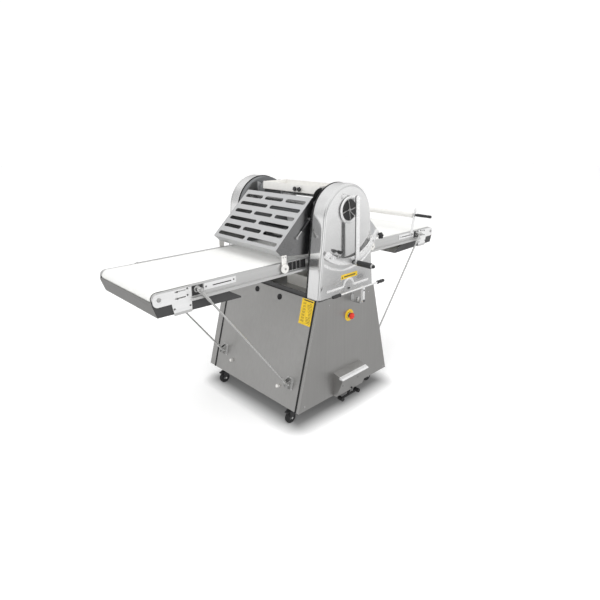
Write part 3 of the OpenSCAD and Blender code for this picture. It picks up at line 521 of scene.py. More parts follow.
def head_cover(side, name, node, shift=0.0):
    """Deep-drawn shell: crowned face, round corner and a wall back to the seal, side -1 or 1."""
    bm = bmesh.new()
    columns = [math.sin(math.pi / 2 * (i / 36 - 1)) for i in range(73)]
    grid = []
    for z in head_rows():
        half = head_half(z)
        row = []
        for u in columns:
            x = u * half
            row.append(bm.verts.new((x, side * (HEAD_FACE - face_depth(x, z)) + shift, z)))
        grid.append(row)
    for lower, upper in zip(grid, grid[1:]):
        for i in range(len(columns) - 1):
            bm.faces.new((lower[i], lower[i + 1], upper[i + 1], upper[i]))
    outline = [row[0] for row in grid] + list(reversed([row[-1] for row in grid]))
    start = HEAD_FACE - face_depth(HEAD_HALF, HEAD_LOW.z)
    levels = [start + (HEAD_SEAL - start) * i / 8 for i in range(1, 9)]
    previous = outline
    for level in levels:
        ring = [bm.verts.new((v.co.x, side * level + shift, v.co.z)) for v in outline]
        for i in range(len(outline) - 1):
            bm.faces.new((previous[i], previous[i + 1], ring[i + 1], ring[i]))
        previous = ring
    piece = emit(bm, name, "polished_steel", "base", 60, finish="drawn_cover", thickness=1.8)
    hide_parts(node)


head_cover(-1, "front_cover_shell", "front_head_cover")
head_cover(1, "rear_cover_shell", "rear_head_cover", REAR_EXTRA)

BEAD = [(-9, -0.4), (-6.6, 0.3), (-4.8, 1.9), (-2.6, 3.9), (0, 4.7), (2.6, 3.9), (4.8, 1.9), (6.6, 0.3),
        (9, -0.4)]


def bead(bm, path):
    """A pressed bead along a path of (x, z) points on the front face, with round ends."""
    points = [Vector((x, z)) for x, z in path]
    lengths = [0.0]
    for a, b in zip(points, points[1:]):
        lengths.append(lengths[-1] + (b - a).length)
    rows = []
    for i, point in enumerate(points):
        ahead = (points[min(i + 1, len(points) - 1)] - points[max(i - 1, 0)]).normalized()
        across = Vector((-ahead.y, ahead.x))
        end = min(lengths[i], lengths[-1] - lengths[i])
        size = math.sqrt(max(1 - (1 - min(end / 9, 1)) ** 2, 0.0004))
        row = []
        for offset, height in BEAD:
            x, z = point + across * offset * size
            depth = HEAD_FACE - face_depth(x, z) + height * size + 0.05
            row.append(bm.verts.new((x, -depth, z)))
        rows.append(row)
    for first, second in zip(rows, rows[1:]):
        for i in range(len(BEAD) - 1):
            bm.faces.new((first[i], first[i + 1], second[i + 1], second[i]))


def fine(points, step=3.0):
    """A path filled in to short steps."""
    out = []
    for a, b in zip(points, points[1:]):
        count = max(int(math.dist(a, b) / step), 1)
        out += [(a[0] + (b[0] - a[0]) * i / count, a[1] + (b[1] - a[1]) * i / count) for i in range(count)]
    return out + [points[-1]]


HUB = (-12, 1245)
BEAD_Z = 786
BOSS_X = 6


def pressed_beads():
    """The straight bead with its hump over the boss, and the arc under the quadrant."""
    bm = bmesh.new()
    left = arc((BOSS_X - 54, BEAD_Z + 14), 14, 270, 300, 3)[1:]
    right = arc((BOSS_X + 54, BEAD_Z + 14), 14, 240, 270, 3)[:-1]
    hump = left + arc((BOSS_X, BEAD_Z), 44, 162, 18, 28) + right
    bead(bm, fine([(-184, BEAD_Z), (-50, BEAD_Z)] + hump + [(62, BEAD_Z), (196, BEAD_Z)]))
    bead(bm, fine(arc(HUB, 352, 236, 310, 60)))
    # painted highlight: the beads get the whiter lever finish, brighter than the cover they are pressed into
    emit(bm, "pressed_beads", "polished_steel", "base", 80, finish="lever_steel")
    bm = bmesh.new()
    ring = [(0, 0), (13, 0), (13, 4), (12, 5.5), (8.5, 6), (7, 5), (0, 5)]
    lathe(bm, (BOSS_X, -HEAD_FACE + 1, BEAD_Z - 14), TO_FRONT, ring, 32)
    emit(bm, "boss_ring", "bright_steel", "base")
    bm = bmesh.new()
    lathe(bm, (BOSS_X, -HEAD_FACE - 3.6, BEAD_Z - 14), TO_FRONT, [(0, 0), (6.6, 0), (6.6, 1.2), (0, 1.2)], 24)
    emit(bm, "boss_plug", "black_plastic", "base")


pressed_beads()


# ---- Belts ----


def belt(side, label):
    """Endless belt: flat upper run, a little slack below, rounded edges."""
    low, high = span(label + "_belt")
    inner = min(abs(low.x), abs(high.x))
    outer = max(abs(low.x), abs(high.x))
    radius = (high.z - low.z) / 2
    start, end, centre = inner + radius, outer - radius, (high.z + low.z) / 2
    half = high.y
    path = [((start + (end - start) * i / 60, centre + radius), (0, 1)) for i in range(61)]
    path += [((end + radius * math.sin(a), centre + radius * math.cos(a)), (math.sin(a), math.cos(a)))
             for a in [math.pi * i / 24 for i in range(1, 24)]]
    for i in range(61):
        share = i / 60
        slack = 2.2 * math.sin(math.pi * share) ** 2
        path.append(((end + (start - end) * share, centre - radius - slack), (0, -1)))
    path += [((start - radius * math.sin(a), centre - radius * math.cos(a)), (-math.sin(a), -math.cos(a)))
             for a in [math.pi * i / 24 for i in range(1, 24)]]
    thick = 2.1
    edge_r = thick / 2
    turns = [math.pi * i / 6 for i in range(7)]
    edge = [(half - edge_r + edge_r * math.sin(a), -edge_r + edge_r * math.cos(a)) for a in turns]
    top = [(-half + edge_r + (2 * half - thick) * i / 30, 0) for i in range(31)]
    bottom = [(y, -thick) for y, _ in reversed(top)]
    section = top[:-1] + edge[:-1] + [(half - edge_r, -thick)] + bottom[1:-1]
    section += [(-y, z) for y, z in reversed(edge)]
    bm = bmesh.new()
    rings = []
    for (x, z), (nx, nz) in path:
        ring = [bm.verts.new((side * (x + nx * depth), y, z + nz * depth)) for y, depth in section]
        rings.append(ring)
    for first, second in zip(rings, rings[1:] + rings[:1]):
        join_rings(bm, first, second)
    piece = emit(bm, label + "_woven_belt", "belt_fabric", label + "_table", 50)
    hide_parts(label + "_belt")


belt(-1, "left")
belt(1, "right")


# ---- Thickness lever and quadrant ----

RING_BACK = -HEAD_FACE - 4
GRIP = (12, 936)


def thickness_lever():
    """Ring with curved spokes on the hub, the flat arm down to the grip, and the grip with its end cap."""
    hub = (HUB[0], RING_BACK, HUB[1])
    bm = bmesh.new()
    rim = [(0, 0), (72, 0), (76, 1), (78, 3.5), (78, 6.5), (76.5, 9), (73, 10.4), (69, 10.6), (65.5, 9.6),
           (62.5, 7), (61, 3.5), (0, 3.5)]
    lathe(bm, hub, TO_FRONT, rim, 72)
    ring = emit(bm, "lever_ring", "polished_steel", "lever", 40, finish="lever_steel")
    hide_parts("lever")
    bm = bmesh.new()
    lathe(bm, hub, TO_FRONT, [(0, 3.6), (60.6, 3.6), (60.6, 4.4), (56, 4.7), (0, 4.7)], 60)
    emit(bm, "hub_disc", "black_plastic", "lever")
    bm = bmesh.new()
    for turn in (92, 2, -52, -92, 182):
        path = []
        for r in (6, 17, 28, 39, 50, 62):
            angle = math.radians(turn + 12 * r / 62)
            path.append((HUB[0] + r * math.cos(angle), RING_BACK - 7, HUB[1] + r * math.sin(angle)))
        pipe(bm, path, 2.8, 10)
    lathe(bm, hub, TO_FRONT, [(0, 4), (10, 4), (10, 8), (8, 10.4), (5, 11.4), (0, 11.4)], 32)
    emit(bm, "hub_spokes", "bright_steel", "lever")
    bm = bmesh.new()
    prism(bm, bar(GRIP, (4, 1317), 15, 14), -494, -480)
    emit(bm, "lever_arm", "polished_steel", "lever", 35, bevel=2.4, finish="lever_arm")
    bm = bmesh.new()
    prism(bm, bar((14, 1314), (-6, 1318), 13, 11), -481, -440)
    emit(bm, "lever_neck", "polished_steel", "lever", 35, bevel=2.0, finish="lever_steel")
    bm = bmesh.new()
    lathe(bm, (GRIP[0], -472, GRIP[1]), TO_FRONT, [(0, 0), (13, 0), (14, 1.5), (14, 7), (0, 7)], 36)
    emit(bm, "lever_collars", "bright_steel", "lever")
    bm = bmesh.new()
    grip = [(0, 0), (15.2, 0), (16.7, 1.6), (17, 6)]
    grip += [(16.2 if i % 2 else 16.9, 12 + 5 * i) for i in range(16)]
    grip += [(17, 94), (16.2, 99), (14.5, 101), (0, 101)]
    lathe(bm, (GRIP[0], -494.4, GRIP[1]), TO_FRONT, grip, 40)
    lathe(bm, (GRIP[0], -458, GRIP[1]), TO_FRONT, [(0, 0), (12, 0), (13.6, 1.5), (13.6, 13), (0, 13)], 36)
    lathe(bm, (GRIP[0], -604, GRIP[1]), TO_FRONT, [(0, 0), (9.6, 0), (9.6, 7), (8, 9.4), (0, 10)], 30)
    piece = emit(bm, "lever_handle", "black_plastic", "lever", 50)
    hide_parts("lever_grip")
    bm = bmesh.new()
    cap = [(0, 0), (13.4, 0), (14.2, 1.2), (14.2, 10.5), (13.2, 11.8), (0, 11.8)]
    lathe(bm, (GRIP[0], -592, GRIP[1]), TO_FRONT, cap, 36)
    emit(bm, "handle_end", "white_enamel", "lever", 40)


thickness_lever()


def on_quadrant(radius, degrees, y):
    """A point about the lever's hub, its angle counted from straight down toward +x."""
    a = math.radians(degrees)
    return (HUB[0] + radius * math.sin(a), y, HUB[1] - radius * math.cos(a))


def quadrant():
    """Curved stop plate with a rolled outer rim, standoffs and scale marks."""
    bm = bmesh.new()
    start, end = -42, 60
    inner, outer = 280, 322
    rows = []
    section = [(inner, 446.3), (inner, 450.6), (281.2, 451.4), (316, 451.4), (319, 450.9), (321.2, 449),
               (outer, 446), (outer, 435.6), (319, 435.6), (318.6, 444.5), (316.5, 446.3)]
    count = 84
    for i in range(count + 1):
        turned = (end - start) * i / count
        taper = min(1, turned / 3, (end - start - turned) / 3)
        inset = 8 * (1 - math.sqrt(max(1 - (1 - taper) ** 2, 0)))
        row = []
        for radius, y in section:
            shifted = radius + inset * (1 - 2 * (radius - inner) / (outer - inner))
            row.append(bm.verts.new(on_quadrant(shifted, start + turned, -y)))
        rows.append(row)
    for first, second in zip(rows, rows[1:]):
        join_rings(bm, first, second)
    bm.faces.new(rows[0])
    bm.faces.new(rows[-1])
    piece = emit(bm, "stop_quadrant", "polished_steel", "base", 30, finish="lever_steel")
    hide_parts("quadrant_plate")
    bm = bmesh.new()
    post = [(0, 0), (9, 0), (9, 3), (7, 4), (7, 14.5), (0, 14.5)]
    head = [(0, 0), (6.5, 0), (6.5, 1.6), (5, 3.2), (0, 3.8)]
    for degrees in (-34, 8, 46):
        lathe(bm, on_quadrant(304, degrees, -HEAD_FACE + 1), TO_FRONT, post, 28)
        lathe(bm, on_quadrant(304, degrees, -451), TO_FRONT, head, 28)
    emit(bm, "quadrant_standoffs", "bright_steel", "base")
    bm = bmesh.new()
    for i in range(11):
        ends = [on_quadrant(r, -32 + 8.2 * i, -451.6) for r in (283, 289 if i % 2 else 293)]
        pipe(bm, ends, 0.7, 6)
    emit(bm, "quadrant_ticks", "black_plastic", "base")


quadrant()


# ---- Knobs, grips and buttons ----


def knob(bm, origin, axis, size=1.0):
    """Six-lobed clamping knob with a dished face, from a stud's end along an axis."""
    along, side, up = basis(axis)
    levels = [(0.55, 0, 0.0), (0.62, 1, 0.0), (0.66, 4.5, 0.2), (0.93, 6, 1.0), (1.0, 9, 1.0), (1.0, 14, 1.0),
              (0.94, 17, 1.0), (0.84, 18.4, 0.8), (0.5, 18.0, 0.2), (0.0, 17.2, 0)]
    rings = []
    for share, height, lobes in levels:
        centre = Vector(origin) + along * height * size
        if share == 0:
            rings.append([bm.verts.new(centre)])
            continue
        ring = []
        for i in range(72):
            a = 2 * math.pi * i / 72
            r = size * 18.6 * share * (1 - 0.10 * lobes * (1 - math.cos(6 * a)))
            ring.append(bm.verts.new(centre + (side * math.cos(a) + up * math.sin(a)) * r))
        rings.append(ring)
    bm.faces.new(rings[0])
    for first, second in zip(rings, rings[1:]):
        join_rings(bm, first, second)


def clamping_knobs():
    """Two limit knobs of the quadrant and the two knobs of the bin, on turned studs."""
    right = Vector(on_quadrant(322, 54, -455)) - Vector((1, 0, 0))
    left = Vector(on_quadrant(283, -22, -455))
    inward = Vector((math.cos(math.radians(68)), 0, math.sin(math.radians(68))))
    black, bright = bmesh.new(), bmesh.new()
    knob(black, right + Vector((12, 0, 0)), (1, 0, 0), 1.18)
    knob(black, left + inward * 24, inward)
    lathe(bright, right, (1, 0, 0), [(0, -1), (6.5, -1), (6.5, 3), (4, 3.4), (4, 12.5), (0, 12.5)], 24)
    lathe(bright, left, inward, [(0, -2), (7, -2), (7, 4), (4, 4.4), (4, 24.5), (0, 24.5)], 24)
    stud = [(0, 0), (6, 0), (6, 1.2), (4, 1.6), (4, 3.6), (0, 3.6)]
    for y in (-130, -92):
        knob(black, (-105.2, y, 1346), (-1, 0, 0), 0.80)
        lathe(bright, (-102, y, 1346), (-1, 0, 0), stud, 24)
    piece = emit(black, "clamping_knobs", "black_plastic", "base", 50)
    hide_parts("star_knobs")
    emit(bright, "knob_studs", "bright_steel", "base")


clamping_knobs()


def soft_grip(bm, origin, axis, length, radius):
    """Hollow-ended moulded grip, a little waisted, with a flange at its inner end."""
    count = 12
    profile = [(0, 0), (radius - 1, 0), (radius, 1.5), (radius, 5), (radius - 1.3, 7)]
    profile += [(radius - 1.3 + 0.9 * math.sin(math.pi * i / count) ** 2, 7 + (length - 12) * i / count)
                for i in range(1, count + 1)]
    profile += [(radius - 2.2, length - 2), (radius - 4, length - 0.6), (0, length)]
    lathe(bm, origin, axis, profile, 36)


def direction_bar():
    """Round bar with a grip at each end, its hanging arm and the pivot in the bracket."""
    y, z, x, pivot_z = -515, 787, 38, 705
    bm = bmesh.new()
    pipe(bm, [(-192, y, z), (206, y, z)], 5, 20)
    prism(bm, bar((x, pivot_z), (x, z), 9, 9), -524, -508)
    pivot = [(0, 0), (6, 0), (6, 12), (11, 12), (11, 28), (6, 28), (6, 52), (0, 52)]
    lathe(bm, (x, -472, pivot_z), TO_FRONT, pivot, 28)
    piece = emit(bm, "direction_bar", "bright_steel", "joystick", 40, finish="lever_steel")
    bm = bmesh.new()
    soft_grip(bm, (-164, y, z), (-1, 0, 0), 64, 11)
    soft_grip(bm, (178, y, z), (1, 0, 0), 64, 11)
    emit(bm, "direction_grips", "black_plastic", "joystick", 50)
    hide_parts("joystick")
    bm = bmesh.new()
    lathe(bm, (x, -524, pivot_z), TO_FRONT, [(0, 0), (8.5, 0), (8.5, 4.5), (7.5, 5.2), (0, 5.2)], 6)
    lathe(bm, (x, -524, 770), TO_FRONT, [(0, 0), (5, 0), (5, 2.4), (3.5, 3.4), (0, 3.6)], 24)
    emit(bm, "direction_nuts", "dark_screw", "joystick", 30)


direction_bar()


def stop_button():
    """Red mushroom cap on its stem, with a steel collar on the base."""
    low, high = span("estop_button")
    x, z = (low.x + high.x) / 2, (low.z + high.z) / 2
    bm = bmesh.new()
    dome = [(0, 0), (18.4, 0), (19.8, 1.2), (20, 3.5), (19.4, 7), (17.6, 11), (13.5, 14.2), (8, 15.8),
            (0, 16.4)]
    lathe(bm, (x, -450.6, z), TO_FRONT, dome, 48)
    cap = emit(bm, "stop_cap", "red_plastic", "estop_button", 50)
    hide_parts("estop_button")
    bm = bmesh.new()
    lathe(bm, (x, -409, z), TO_FRONT, [(0, 0), (11.8, 0), (11.8, 42), (0, 42)], 36)
    emit(bm, "stop_stem", "black_plastic", "estop_button")
    bm = bmesh.new()
    hoop(bm, (x, -435.1, z), [(12.3, 0), (17.5, 0), (17.5, 2.9), (16.2, 5.4), (12.3, 5.4)], 40, -1)
    emit(bm, "stop_collar", "bright_steel", "base", 30)


stop_button()


def reel():
    """Dough reel: plastic tube on steel journals, two arms with nuts and a black handle."""
    low, high = span("dough_reel")
    x, z = (low.x + high.x) / 2, (low.z + high.z) / 2
    bm = bmesh.new()
    lathe(bm, (x, -288, z), (0, 1, 0), [(0, 0), (17.5, 0), (19, 1.5), (19, 574.5), (17.5, 576), (0, 576)], 48)
    tube = emit(bm, "reel_tube", "white_plastic", "dough_reel", 40)
    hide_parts("dough_reel")
    bm = bmesh.new()
    for side in (-1, 1):
        lathe(bm, (x, side * 286, z), (0, side, 0), [(0, 0), (12, 0), (12, 5), (8, 6), (8, 13), (0, 13)], 32)
    emit(bm, "reel_journals", "bright_steel", "dough_reel", 40)
    foot, tip = (862, 956), (900, 1132)
    bm = bmesh.new()
    for side in (-1, 1):
        prism(bm, bar(foot, tip, 13, 13), side * 295.6, side * 299.4)
    arms = emit(bm, "reel_arm_bars", "bright_steel", "reel_arms", 35, bevel=0.8, finish="pale_bevel")
    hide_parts("reel_arms")
    bm = bmesh.new()
    for side in (-1, 1):
        for (px, pz), r in ((foot, 9), ((x, z), 10)):
            nut = [(0, 0), (r, 0), (r, 2), (r - 2, 4.5), (0, 5)]
            lathe(bm, (px, side * 299.5, pz), (0, side, 0), nut, 28)
    emit(bm, "reel_arm_nuts", "bright_steel", "reel_arms", 35)
    bm = bmesh.new()
    handle = [(0, 0), (7, 0), (7, 12), (9.5, 13), (11, 18), (11, 60), (10, 100), (10.6, 128),
              (9.5, 133.5), (6, 135.4), (0, 135.6)]
    lathe(bm, (x + 2, -299.4, z + 4), TO_FRONT, handle, 36)
    emit(bm, "reel_handle", "black_plastic", "reel_arms", 50)


reel()


# ---- Casters ----


AXLE_Z = 36


def symmetric(half, middle=()):
    """A profile from its half of (radius, offset) pairs: the far side first, then the near side."""
    return [(radius, -offset) for radius, offset in half] + list(middle) + list(reversed(half))


def caster(corner, sx, sy):
    """Swivel caster under a corner of the base, trailing toward -x: tyre, hub, fork, axle and brake."""
    x, y = sx * 360, sy * 335
    cx = x - 28
    bm = bmesh.new()
    half_tyre = [(14, 11), (26, 11.6), (31, 11.8), (34.2, 10.2), (35.8, 6.5)]
    hoop(bm, (cx, y, AXLE_Z), symmetric(half_tyre, [(36, 0)]), 56)
    tyre = emit(bm, f"caster_tyre_{corner}", "black_rubber", f"caster_wheel_{corner}", 50)
    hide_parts(f"caster_wheel_{corner}")
    bm = bmesh.new()
    hoop(bm, (cx, y, AXLE_Z), symmetric([(5.2, 12), (9, 12), (10, 9), (20, 8), (22, 9.4)]), 40)
    emit(bm, f"caster_hub_{corner}", "frame_steel", f"caster_wheel_{corner}", 35)
    body = f"caster_fork_{corner}"
    bm = bmesh.new()
    race = [(0, 0), (26, 0), (27, 2), (26.5, 7), (23, 11), (20, 13), (20, 16), (0, 16)]
    lathe(bm, (x, y, 98.8), (0, 0, -1), race, 40)
    block(bm, (x - 44, y - 17, 76.5), (x + 16, y + 17, 83))
    cheek = [(x - 44, 80), (x + 16, 80), (x + 15, 74)] + arc((cx, AXLE_Z), 9.5, 10, -190, 14) + [(x - 44, 70)]
    for side in (-1, 1):
        prism(bm, cheek, y + side * 14.2, y + side * 17)
    fork = emit(bm, f"caster_yoke_{corner}", "black_plastic", body, 35, bevel=1.0)
    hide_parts(body)
    bm = bmesh.new()
    nut = [(0, 0), (7.6, 0), (7.6, 2.6), (6.6, 3.2), (0, 3.2)]
    for side in (-1, 1):
        lathe(bm, (cx, y + side * 17, AXLE_Z), (0, side, 0), nut, 6)
    lathe(bm, (cx, y - 17, AXLE_Z), (0, 1, 0), [(0, 0), (4.9, 0), (4.9, 34), (0, 34)], 24)
    emit(bm, f"caster_axle_{corner}", "bright_steel", body, 30)
    bm = bmesh.new()
    prism(bm, [(x - 40, 76.5), (x - 62, 73), (x - 64, 75.5), (x - 60, 80), (x - 40, 83)], y - 13, y + 13)
    emit(bm, f"caster_brake_{corner}", "black_plastic", body, 35, bevel=0.8)


for corner, sx, sy in (("fl", -1, -1), ("fr", 1, -1), ("rl", -1, 1), ("rr", 1, 1)):
    caster(corner, sx, sy)


# ---- Guards and tables: fittings over the CAD sheets ----


def guard_fittings(sx, label):
    """Gas struts, screws, wheel brackets and rollers of the guard over one table."""
    body = label + "_guard"
    lean = math.radians(48)
    way = Vector((sx * math.sin(lean), 0, -math.cos(lean)))
    wheel = (sx * 390, 942.2)
    dark, rod, white, screws = bmesh.new(), bmesh.new(), bmesh.new(), bmesh.new()
    bolt = [(0, 0), (6.4, 0), (6.4, 1.6), (4.4, 3.0), (0, 3.4)]
    small = [(0, 0), (4.2, 0), (4.2, 1.4), (3, 2.4), (0, 2.6)]
    for sy in (-1, 1):
        out = (0, sy, 0)
        top = Vector((sx * 190, sy * 301, 1196))
        lathe(dark, top + way * 8, way, [(0, 0), (4.4, 0), (6.4, 2), (6.4, 82), (5.2, 84), (0, 84)], 24)
        lathe(rod, top + way * 84, way, [(0, 0), (4.4, 0), (4.4, 52), (0, 52)], 20)
        for at in (top, top + way * 142):
            lathe(rod, (at.x, sy * 296, at.z), out, [(0, 0), (9, 0), (9, 9.5), (6.5, 11.4), (0, 12.2)], 28)
        lathe(screws, (wheel[0], sy * 310.1, wheel[1]), out, bolt, 28)
        for dx in (-8, 8):
            lathe(screws, (wheel[0] + dx, sy * 299, 1006), out, small, 20)
    emit(dark, label + "_guard_spring_body", "black_plastic", body)
    emit(rod, label + "_guard_spring_rod", "bright_steel", body)
    emit(screws, label + "_guard_screws", "bright_steel", body)
    outline = [(wheel[0] - 18, 1017), (wheel[0] + 18, 1017), (wheel[0] + 18, 985)]
    outline += arc(wheel, 13, 20, -200, 16) + [(wheel[0] - 18, 985)]
    for sy in (-1, 1):
        prism(white, outline, sy * 296.4, sy * 299.4)
    emit(white, label + "_guard_bracket", "white_plastic", body, 35, bevel=0.6)
    low, high = span(label + "_guard_wheels")
    bm = bmesh.new()
    profile = [(5.2, 0), (11, 0), (12, 1.6), (20, 1.6), (21.5, 0), (24.6, 0.2), (26, 1.6), (26, 8.4),
               (24.6, 9.8), (21.5, 9.9), (20, 8.2), (12, 8.2), (11, 9.9), (5.2, 9.9)]
    for sy in (-1, 1):
        hoop(bm, ((low.x + high.x) / 2, sy * 300.1, (low.z + high.z) / 2), profile, 48, sy)
    wheels = emit(bm, label + "_guard_rollers", "white_plastic", label + "_guard_wheels", 35)
    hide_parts(label + "_guard_wheels")


def screw(bm, place, axis, radius, height):
    """Pan-head screw with a dished recess, standing on a surface."""
    shares = [(1, 0), (1, 0.35), (0.86, 0.75), (0.55, 0.97), (0.42, 1), (0, 0.55)]
    lathe(bm, place, axis, [(radius * across, height * up) for across, up in shares], 28)


def table_fittings(sx, label):
    """Screws, nuts, and black strips that are painted shade in a slot and a recess, on the rails of one
    table.
    """
    body = label + "_table"
    bright, washers, dark = bmesh.new(), bmesh.new(), bmesh.new()
    spots = [(1045, 960, 5.0), (1045, 927, 5.0), (992, 966, 5.0), (992, 934, 5.0), (1062, 880, 5.0),
             (980, 880, 5.0), (890, 952, 4.6), (728, 954, 4.6)]
    roller_nut = [(0, 0), (10.5, 0), (10.5, 1.6), (8, 2.2), (8, 6.4), (6.6, 7.4), (0, 7.4)]
    strut_nut = [(0, 0), (8.5, 0), (8.5, 3), (6, 5.6), (0, 6.4)]
    strut_boss = [(0, 0), (17, 0), (17, 4), (12, 6), (12, 24), (0, 24)]
    for sy in (-1, 1):
        out = (0, sy, 0)
        for x, z, radius in spots:
            screw(bright, (sx * x, sy * 293.8, z), out, radius, 1.6)
        lathe(washers, (sx * 1136, sy * 292, 942.5), out, roller_nut, 30)
        lathe(washers, (sx * 940, sy * 338, 951), out, strut_nut, 30)
        lathe(washers, (sx * 940, sy * 290, 951), out, strut_boss, 36)
        # painted shade: black strips for the shade in the cover plate's slot and in the strut recess
        prism(dark, bar((sx * 745, 951), (sx * 850, 951), 2.6, 2.6), sy * 293.4, sy * 293.9)
        block(dark, (sx * 906, sy * 290.1, 921), (sx * 966, sy * 291.0, 969))
    emit(dark, label + "_table_painted_recess_shade", "black_plastic", body, 35)
    emit(bright, label + "_table_screws", "dark_screw", body, 30)
    emit(washers, label + "_table_nuts", "bright_steel", body, 35)


for sx, label in ((-1, "left"), (1, "right")):
    guard_fittings(sx, label)
    table_fittings(sx, label)


# ---- Labels and small fittings of the base ----

LEAN = math.atan(0.25743)


def label_prints():
    """Dark bars that stand for the lines of the plates."""
    bm = bmesh.new()
    spin = Matrix.Rotation(LEAN, 4, "Y")
    home = Vector((math.tan(LEAN) * (700 - 105) - span("side_panels")[1].x, 0, 700))
    marks = [(-392, -4, 74, 6.0)]
    marks += [(-390, -18 - 8 * i, 20 + (i * 17) % 9 * 2.6, 2.0) for i in range(15)]
    marks += [(-340, -24 - 17 * i + step, 24, 2.0) for i in range(7) for step in (0, 6)]
    for y, drop, width, height in marks:
        z = 34 + drop
        corners = [(y, z), (y + width, z), (y + width, z + height), (y, z + height)]
        bm.faces.new([bm.verts.new(home + spin @ Vector((-1.35, *corner))) for corner in corners])
    y = -HEAD_FACE - 0.95
    shapes = [[(-58, 841), (-44, 841), (-51, 855)]]
    for x in [-38 + 9.5 * i for i in range(11)]:
        shapes.append([(x, 844), (x + 7.6, 844), (x + 7.6, 853), (x, 853)])
    for outline in shapes:
        bm.faces.new([bm.verts.new((x, y, z)) for x, z in outline])
    emit(bm, "label_lines", "black_plastic", "base")


label_prints()


BASE_FACES = {-1: span("front_cover")[0].y, 1: span("rear_cover")[1].y}


def cover_screws():
    """The screws of the base covers, and the small ones of the pedal cover and the bracket."""
    bm = bmesh.new()
    for sy in (-1, 1):
        for x, z in ((-168, 704), (198, 702), (-366, 133), (385, 120)):
            screw(bm, (x, BASE_FACES[sy], z), (0, sy, 0), 5.4, 3.4)
    piece = emit(bm, "cover_screw_heads", "bright_steel", "base", 30)
    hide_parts("cover_screws")
    bm = bmesh.new()
    for x, z in ((-96, 185), (40, 196)):
        screw(bm, (x, -508 + (231 - z) * 0.384, z), (0, -1, -0.384), 3.6, 2.4)
    for x in (30, 46):
        screw(bm, (x, -437, 728), TO_FRONT, 3.2, 2.2)
    emit(bm, "small_screws", "dark_screw", "base", 30)


cover_screws()


# ---- Floor, light and camera ----


def floor():
    """White floor, with a painted shadow: dimmed, and lit less by its glow, in a soft patch under the base.
    """
    bm = bmesh.new()
    bmesh.ops.create_grid(bm, x_segments=2, y_segments=2, size=30)
    mesh = bpy.data.meshes.new("floor")
    bm.to_mesh(mesh)
    bm.free()
    t = Tree(bpy.data.materials.new("floor_with_painted_shadow"))
    cloud = t.noise((0.8, 0.8, 1), 2)
    away = t.add("VectorMath", {0: t.place}, operation="ABSOLUTE").outputs[0]
    beyond = t.add("VectorMath", {0: away, 1: (0.37, 0.38, 0)}, operation="SUBTRACT").outputs[0]
    outside = t.add("VectorMath", {0: beyond, 1: (0, 0, 0)}, operation="MAXIMUM").outputs[0]
    gap = t.add("VectorMath", {0: outside}, operation="LENGTH").outputs["Value"]
    # painted shadow: a factor from 0.30 under the base to 1.0 away from it
    under = t.spread(gap, 0.30, 1.0, 0.0, 0.14)
    ground = t.dimmed((0.95, 0.95, 0.95), under)
    uneven = t.bump(cloud, 0.001, 0.1)
    matt = t.add("BsdfDiffuse", {"Color": ground, "Roughness": 0.5, "Normal": uneven})
    # the floor's glow is cut by the same painted shadow
    glow = t.add("Emission", {"Color": (1, 1, 1, 1), "Strength": t.math("MULTIPLY", under, 0.20)})
    both = t.add("AddShader", {0: matt.outputs[0], 1: glow.outputs[0]})
    mesh.materials.append(t.finish(both.outputs[0]))
    plane = bpy.data.objects.new("floor", mesh)
    bpy.context.scene.collection.objects.link(plane)
    plane.visible_glossy = False


def area(name, place, target, size, power):
    """A rectangular lamp aimed at a target and unseen in reflections."""
    light = bpy.data.lights.new(name, "AREA")
    light.shape = "RECTANGLE"
    light.size, light.size_y = size
    light.energy = power
    lamp = bpy.data.objects.new(name, light)
    lamp.location = place
    lamp.visible_glossy = False
    lamp.rotation_euler = (Vector(target) - Vector(place)).to_track_quat("-Z", "Y").to_euler()
    bpy.context.scene.collection.objects.link(lamp)


def fill_ramp(elements, stops):
    """Sets a colour ramp to grey values at positions."""
    elements[0].position, elements[1].position = stops[0][0], stops[-1][0]
    for position, _ in stops[1:-1]:
        elements.new(position)
    for element, (_, value) in zip(elements, stops):
        element.color = (value, value, value, 1)


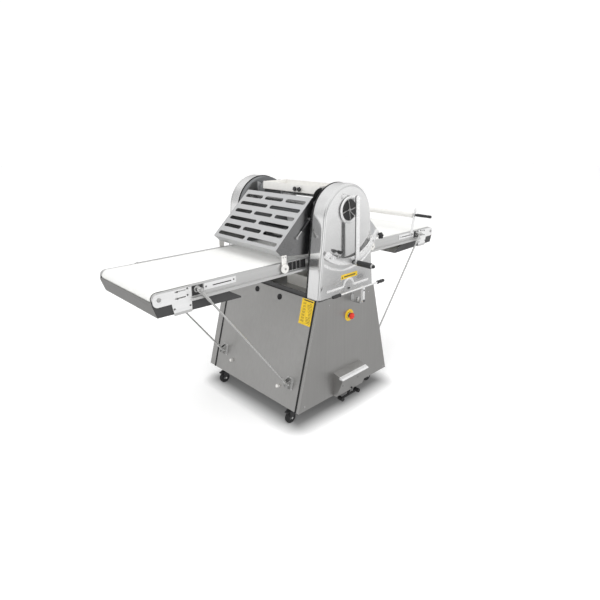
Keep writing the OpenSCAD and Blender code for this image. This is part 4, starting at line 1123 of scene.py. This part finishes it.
def studio():
    """White room for the eye; for reflections, a bright ceiling over a grey horizon with dark cards."""
    world = bpy.data.worlds.new("studio")
    bpy.context.scene.world = world
    t = Tree(world)
    parts = t.add("SeparateXYZ", {0: t.coordinates["Generated"]}).outputs
    ramp = t.add("ValToRGB", {"Fac": t.spread(parts["Z"], 0.0, 1.0, -1.0, 1.0)})
    levels = [(0.0, 0.60), (0.30, 0.58), (0.355, 0.60), (0.39, 0.72), (0.43, 0.92), (0.47, 1.0),
              (0.52, 0.80), (0.58, 0.66), (0.66, 0.72), (0.80, 0.90), (1.0, 0.95)]
    fill_ramp(ramp.color_ramp.elements, levels)
    angle = t.math("ARCTAN2", parts["Y"], parts["X"])
    around = t.add("ValToRGB", {"Fac": t.spread(angle, 0.0, 1.0, -math.pi, math.pi)})
    cards = [(0.0, 0.75), (0.055, 0.10), (0.083, 1.0), (0.167, 1.0), (0.189, 0.12), (0.222, 1.0),
             (0.333, 0.92), (0.375, 0.95), (0.444, 0.85), (0.5, 0.9), (0.667, 0.8), (0.778, 0.95),
             (0.822, 0.55), (0.855, 0.95), (0.917, 0.95), (1.0, 0.75)]
    fill_ramp(around.color_ramp.elements, cards)
    steep = t.math("ABSOLUTE", parts["Z"])
    level = t.spread(steep, 0.0, 1.0, 0.3, 0.8)
    pale = (0.9, 0.9, 0.9, 1)
    even = t.add("Mix", {0: level, 6: around.outputs["Color"], 7: pale}, data_type="RGBA")
    both = {0: 1.0, 6: ramp.outputs["Color"], 7: even.outputs[2]}
    room = t.add("Mix", both, data_type="RGBA", blend_type="MULTIPLY")
    white = (1, 1, 1, 1)
    seen = t.add("Background", {"Color": white, "Strength": 1.05}).outputs[0]
    reflected = t.add("Background", {"Color": room.outputs[2], "Strength": 1.0}).outputs[0]
    lit = t.add("Background", {"Color": white, "Strength": 0.85}).outputs[0]
    path = t.add("LightPath").outputs
    rays = t.mix(path["Is Glossy Ray"], lit, reflected)
    t.add("OutputWorld", {"Surface": t.mix(path["Is Camera Ray"], rays, seen)})
    area("key", (-2.6, -2.2, 3.6), (0, 0, 0.9), (2.4, 2.4), 48)
    area("fill", (2.4, -2.8, 2.2), (0, 0, 0.8), (2.0, 1.6), 18)
    area("top", (0.3, 0.4, 4.2), (0, 0, 1.0), (3.0, 3.0), 40)


def camera():
    """The camera at the operator's left, above the belts and turned a little down."""
    data = bpy.data.cameras.new("camera")
    data.sensor_width = 36
    data.lens = 28.23
    data.shift_x = -0.0105
    data.shift_y = -0.0812
    data.clip_end = 100
    eye = bpy.data.objects.new("camera", data)
    eye.location = (-2.0604, -2.1729, 1.6527)
    eye.rotation_euler = (math.radians(76.3), 0, math.radians(-44.5))
    bpy.context.scene.collection.objects.link(eye)
    bpy.context.scene.camera = eye


floor()
studio()
camera()
view = bpy.context.scene.view_settings
view.view_transform = "Standard"
view.look = "None"
view.exposure = 0.0
